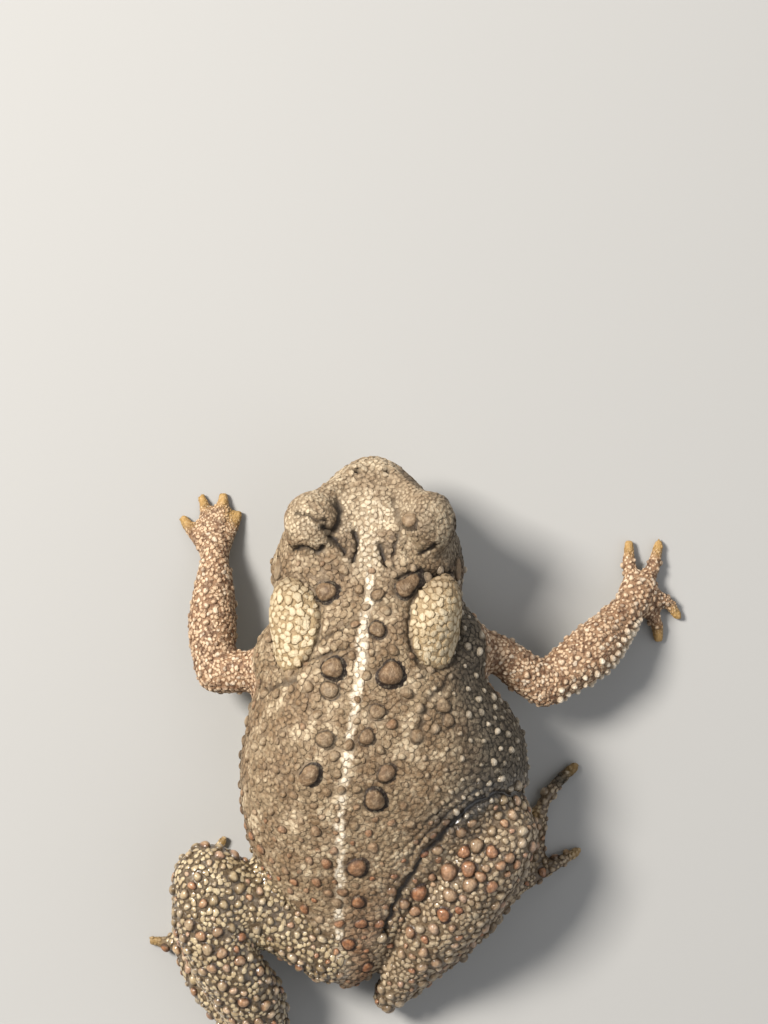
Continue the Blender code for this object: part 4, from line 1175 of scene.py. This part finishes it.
def granule_layers(skin, rng, taken, material):
    """The small flat granules that cobble all the upper skin, one piece for each part of the body."""
    points, normals, roots = skin.samples(rng, GRANULE_TRIES)
    plan = to_plan(points)
    fields = {name: field[roots] for name, field in skin.fields.items()}
    near = skin.fields["shade"]
    for _ in range(3):
        near = 0.5 * near + 0.5 * skin.mean_of_links(near)
    near = np.clip(near * 1.8, 0.0, 1.0)[roots]
    spacing = 0.68 + 0.16 * noise_field(plan, 3.0, 22)
    spacing += 0.16 * fields["gland"] - 0.08 * fields["snout"] - 0.17 * fields["arm"]
    spacing -= 0.14 * (plan[:, 2] < 2.6)
    spacing *= 0.76 + 0.50 * rng.random(len(plan))
    covered = (fields["belly"] < 0.9) & (fields["shade"] < 0.3) & (normals[:, 2] > -0.6)
    covered &= (fields["tip"] < 0.97) & (plan[:, 2] > 0.6)
    for side in SIDES:
        away = np.linalg.norm(plan - to_plan([eye_parts(side)[0]])[0], axis=1)
        covered &= ~(away < EYE_RADIUS + 0.75)
        spacing *= 1.0 - 0.24 * (1.0 - ramp(away, EYE_RADIUS + 2.0, EYE_RADIUS + 3.5))
    fade = (1.0 - 0.6 * fields["belly"]) * (1.0 - 0.4 * fields["tip"])
    found = scatter(plan, spacing, covered, taken)
    head = ((plan[found, 1] > 24.5) & (np.abs(plan[found, 0]) < 15)) | (fields["gland"][found] > 0.5)
    arms = (fields["arm"][found] > 0.5) & ~head
    legs = (fields["leg"][found] > 0.5) & ~head & ~arms
    back = ~(head | arms | legs)
    left = plan[found, 0] < -1.5
    parts = {"head": head, "arms": arms, "legs": legs, "back_left": back & left, "back_right": back & ~left}
    drawn = rng.random((len(found), 4))
    for name, chosen in parts.items():
        domes = Domes(skin, rng)
        for k in np.flatnonzero(chosen):
            n = found[k]
            size = spacing[n] * (0.68 + 0.16 * drawn[k, 0]) * (1.0 - 0.4 * near[n]) * fade[n]
            limb = max(fields["arm"][n], fields["leg"][n])
            height = size * (0.11 + 0.15 * drawn[k, 1] + 0.07 * limb - 0.02 * fields["gland"][n])
            tone = 0.75 * drawn[k, 2] + 0.25 * fields["tone"][n]
            pale = 0.4 if fields["arm"][n] > 0.5 and drawn[k, 3] > 0.88 else 0.0
            # Granules in a groove or fold take some of its painted shade.
            domes.add(points[n], normals[n], roots[n], size, height,
                      tone=tone, pale=pale, shade=fields["shade"][n] * 0.6)
        domes.build("granules_" + name, material, striped=name not in ("arms", "legs"), **GRANULE_DOME)


def eye_parts(side):
    """An eyeball's middle and its ways out, level and upward."""
    low, high = (Vector(c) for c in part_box("eye_" + side))
    sign = 1.0 if side == "right" else -1.0
    gaze = (toad_point(sign * 0.93, 0.28, 0.12) - ORIGIN).normalized()
    level = gaze.cross(Vector((0.0, 0.0, 1.0))).normalized()
    return (low + high) / 2, gaze, level, level.cross(gaze).normalized()


def make_eye(side):
    centre, gaze, _, _ = eye_parts(side)
    bm = bmesh.new()
    bmesh.ops.create_uvsphere(bm, u_segments=48, v_segments=32, radius=EYE_RADIUS * MM)
    turn = gaze.to_track_quat("Z", "Y").to_matrix().to_4x4()
    bmesh.ops.transform(bm, matrix=Matrix.Translation(centre) @ turn, verts=bm.verts)
    eye = object_from(bm, "eye_" + side + "_wet")
    finish_mesh(eye, eye_material(side))
    return own(eye, "eye", "eye_" + side)


def make_lid_rim(side, tree, material):
    """The lids' edge round the eye: thick above, thin and paler below, laid on the eyeball."""
    centre, gaze, level, rise = eye_parts(side)

    def way_out(k, tilt):
        turn = 2 * math.pi * k / RIM_STEPS
        aside = level * math.cos(turn) + rise * math.sin(turn)
        return gaze * math.cos(tilt) + aside * math.sin(tilt)

    opening = []
    for k in range(RIM_STEPS):
        tilt = 12.0
        while tilt < 75.0 and tree.ray_cast(centre, way_out(k, math.radians(tilt)), 4.6 * MM)[0] is None:
            tilt += 1.0
        opening.append(tilt)
    opening = np.array(opening)
    for _ in range(4):
        opening = 0.5 * opening + 0.25 * (np.roll(opening, 1) + np.roll(opening, -1))
    curve = bpy.data.curves.new("lid_rim_" + side, "CURVE")
    curve.dimensions = "3D"
    curve.bevel_depth = RIM_THICK * MM
    curve.bevel_resolution = 3
    spline = curve.splines.new("POLY")
    spline.points.add(RIM_STEPS - 1)
    spline.use_cyclic_u = True
    for k, knot in enumerate(spline.points):
        upper = max(0.0, math.sin(2 * math.pi * k / RIM_STEPS))
        way = way_out(k, math.radians(opening[k] - 3.0 - 3.0 * upper))
        knot.co = (*(centre + way * (EYE_RADIUS + 0.16 + 0.12 * upper) * MM), 1.0)
        knot.radius = 0.75 + 0.55 * upper
    line = new_object("lid_rim_" + side, curve)
    mesh = evaluated_mesh(line)
    bpy.data.objects.remove(line, do_unlink=True)
    bpy.data.curves.remove(curve)
    rim = new_object("lid_rim_" + side, mesh)
    heights = (points_of(mesh) - np.array(centre)) @ np.array(rise) / (EYE_RADIUS * MM)
    under = 1.0 - ramp(heights, -0.25, 0.15)
    marks = {"wart": 0.45 * (1.0 - under), "pale": 0.3 * under, "tone": 0.3, "wet": 0.6, "rise": 0.75}
    set_marks(mesh, marks)
    finish_mesh(rim, material)
    return own(rim, "skin")


def make_drum(side, material):
    """The ear drum: a shallow dish with a low rim, over its solid."""
    name = "tympanum_" + side
    points = points_of(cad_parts[name].data)
    centre = Vector(points.mean(axis=0))
    out = Vector(np.linalg.eigh(np.cov((points - points.mean(axis=0)).T))[1][:, 0])
    if out.dot(centre - toad_point(head_axis(DRUM_FORWARD), DRUM_FORWARD, DRUM_UP)) < 0:
        out = -out
    bm = bmesh.new()
    bmesh.ops.create_uvsphere(bm, u_segments=40, v_segments=20, radius=1.0)
    for vert in bm.verts:
        reach = math.hypot(vert.co.x, vert.co.y)
        if vert.co.z > 0:
            vert.co.z -= 0.5 * math.exp(-((reach / 0.8) ** 4))
    turn = out.to_track_quat("Z", "Y").to_matrix().to_4x4()
    size = Matrix.Diagonal((DRUM_RADIUS * MM, DRUM_RADIUS * MM, DRUM_THICK * MM, 1.0))
    bmesh.ops.transform(bm, matrix=Matrix.Translation(centre) @ turn @ size, verts=bm.verts)
    drum = object_from(bm, name + "_skin")
    reach = np.linalg.norm(points_of(drum.data) - np.array(centre), axis=1) / (DRUM_RADIUS * MM)
    # Painted shade round the drum's edge, where it meets the skin.
    set_marks(drum.data, {"wart": 0.45, "tone": 0.3, "shade": 0.6 * ramp(reach, 0.85, 1.0), "rise": 0.7})
    finish_mesh(drum, material)
    return own(drum, "ear", name)


def main():
    rng = np.random.default_rng(SEED)
    add_stage()
    material = skin_material()
    skin = make_skin(material)
    tree = skin.tree()
    domes = Domes(skin, rng)
    taken = add_large_warts(skin, domes, tree)
    domes.build("large_warts", material, **WART_DOME)
    domes = Domes(skin, rng)
    taken = add_tubercles(skin, rng, domes, taken)
    domes.build("tubercles", material, **TUBERCLE_DOME)
    granule_layers(skin, rng, taken, material)
    for side in SIDES:
        make_eye(side)
        make_lid_rim(side, tree, material)
        make_drum(side, material)


main()
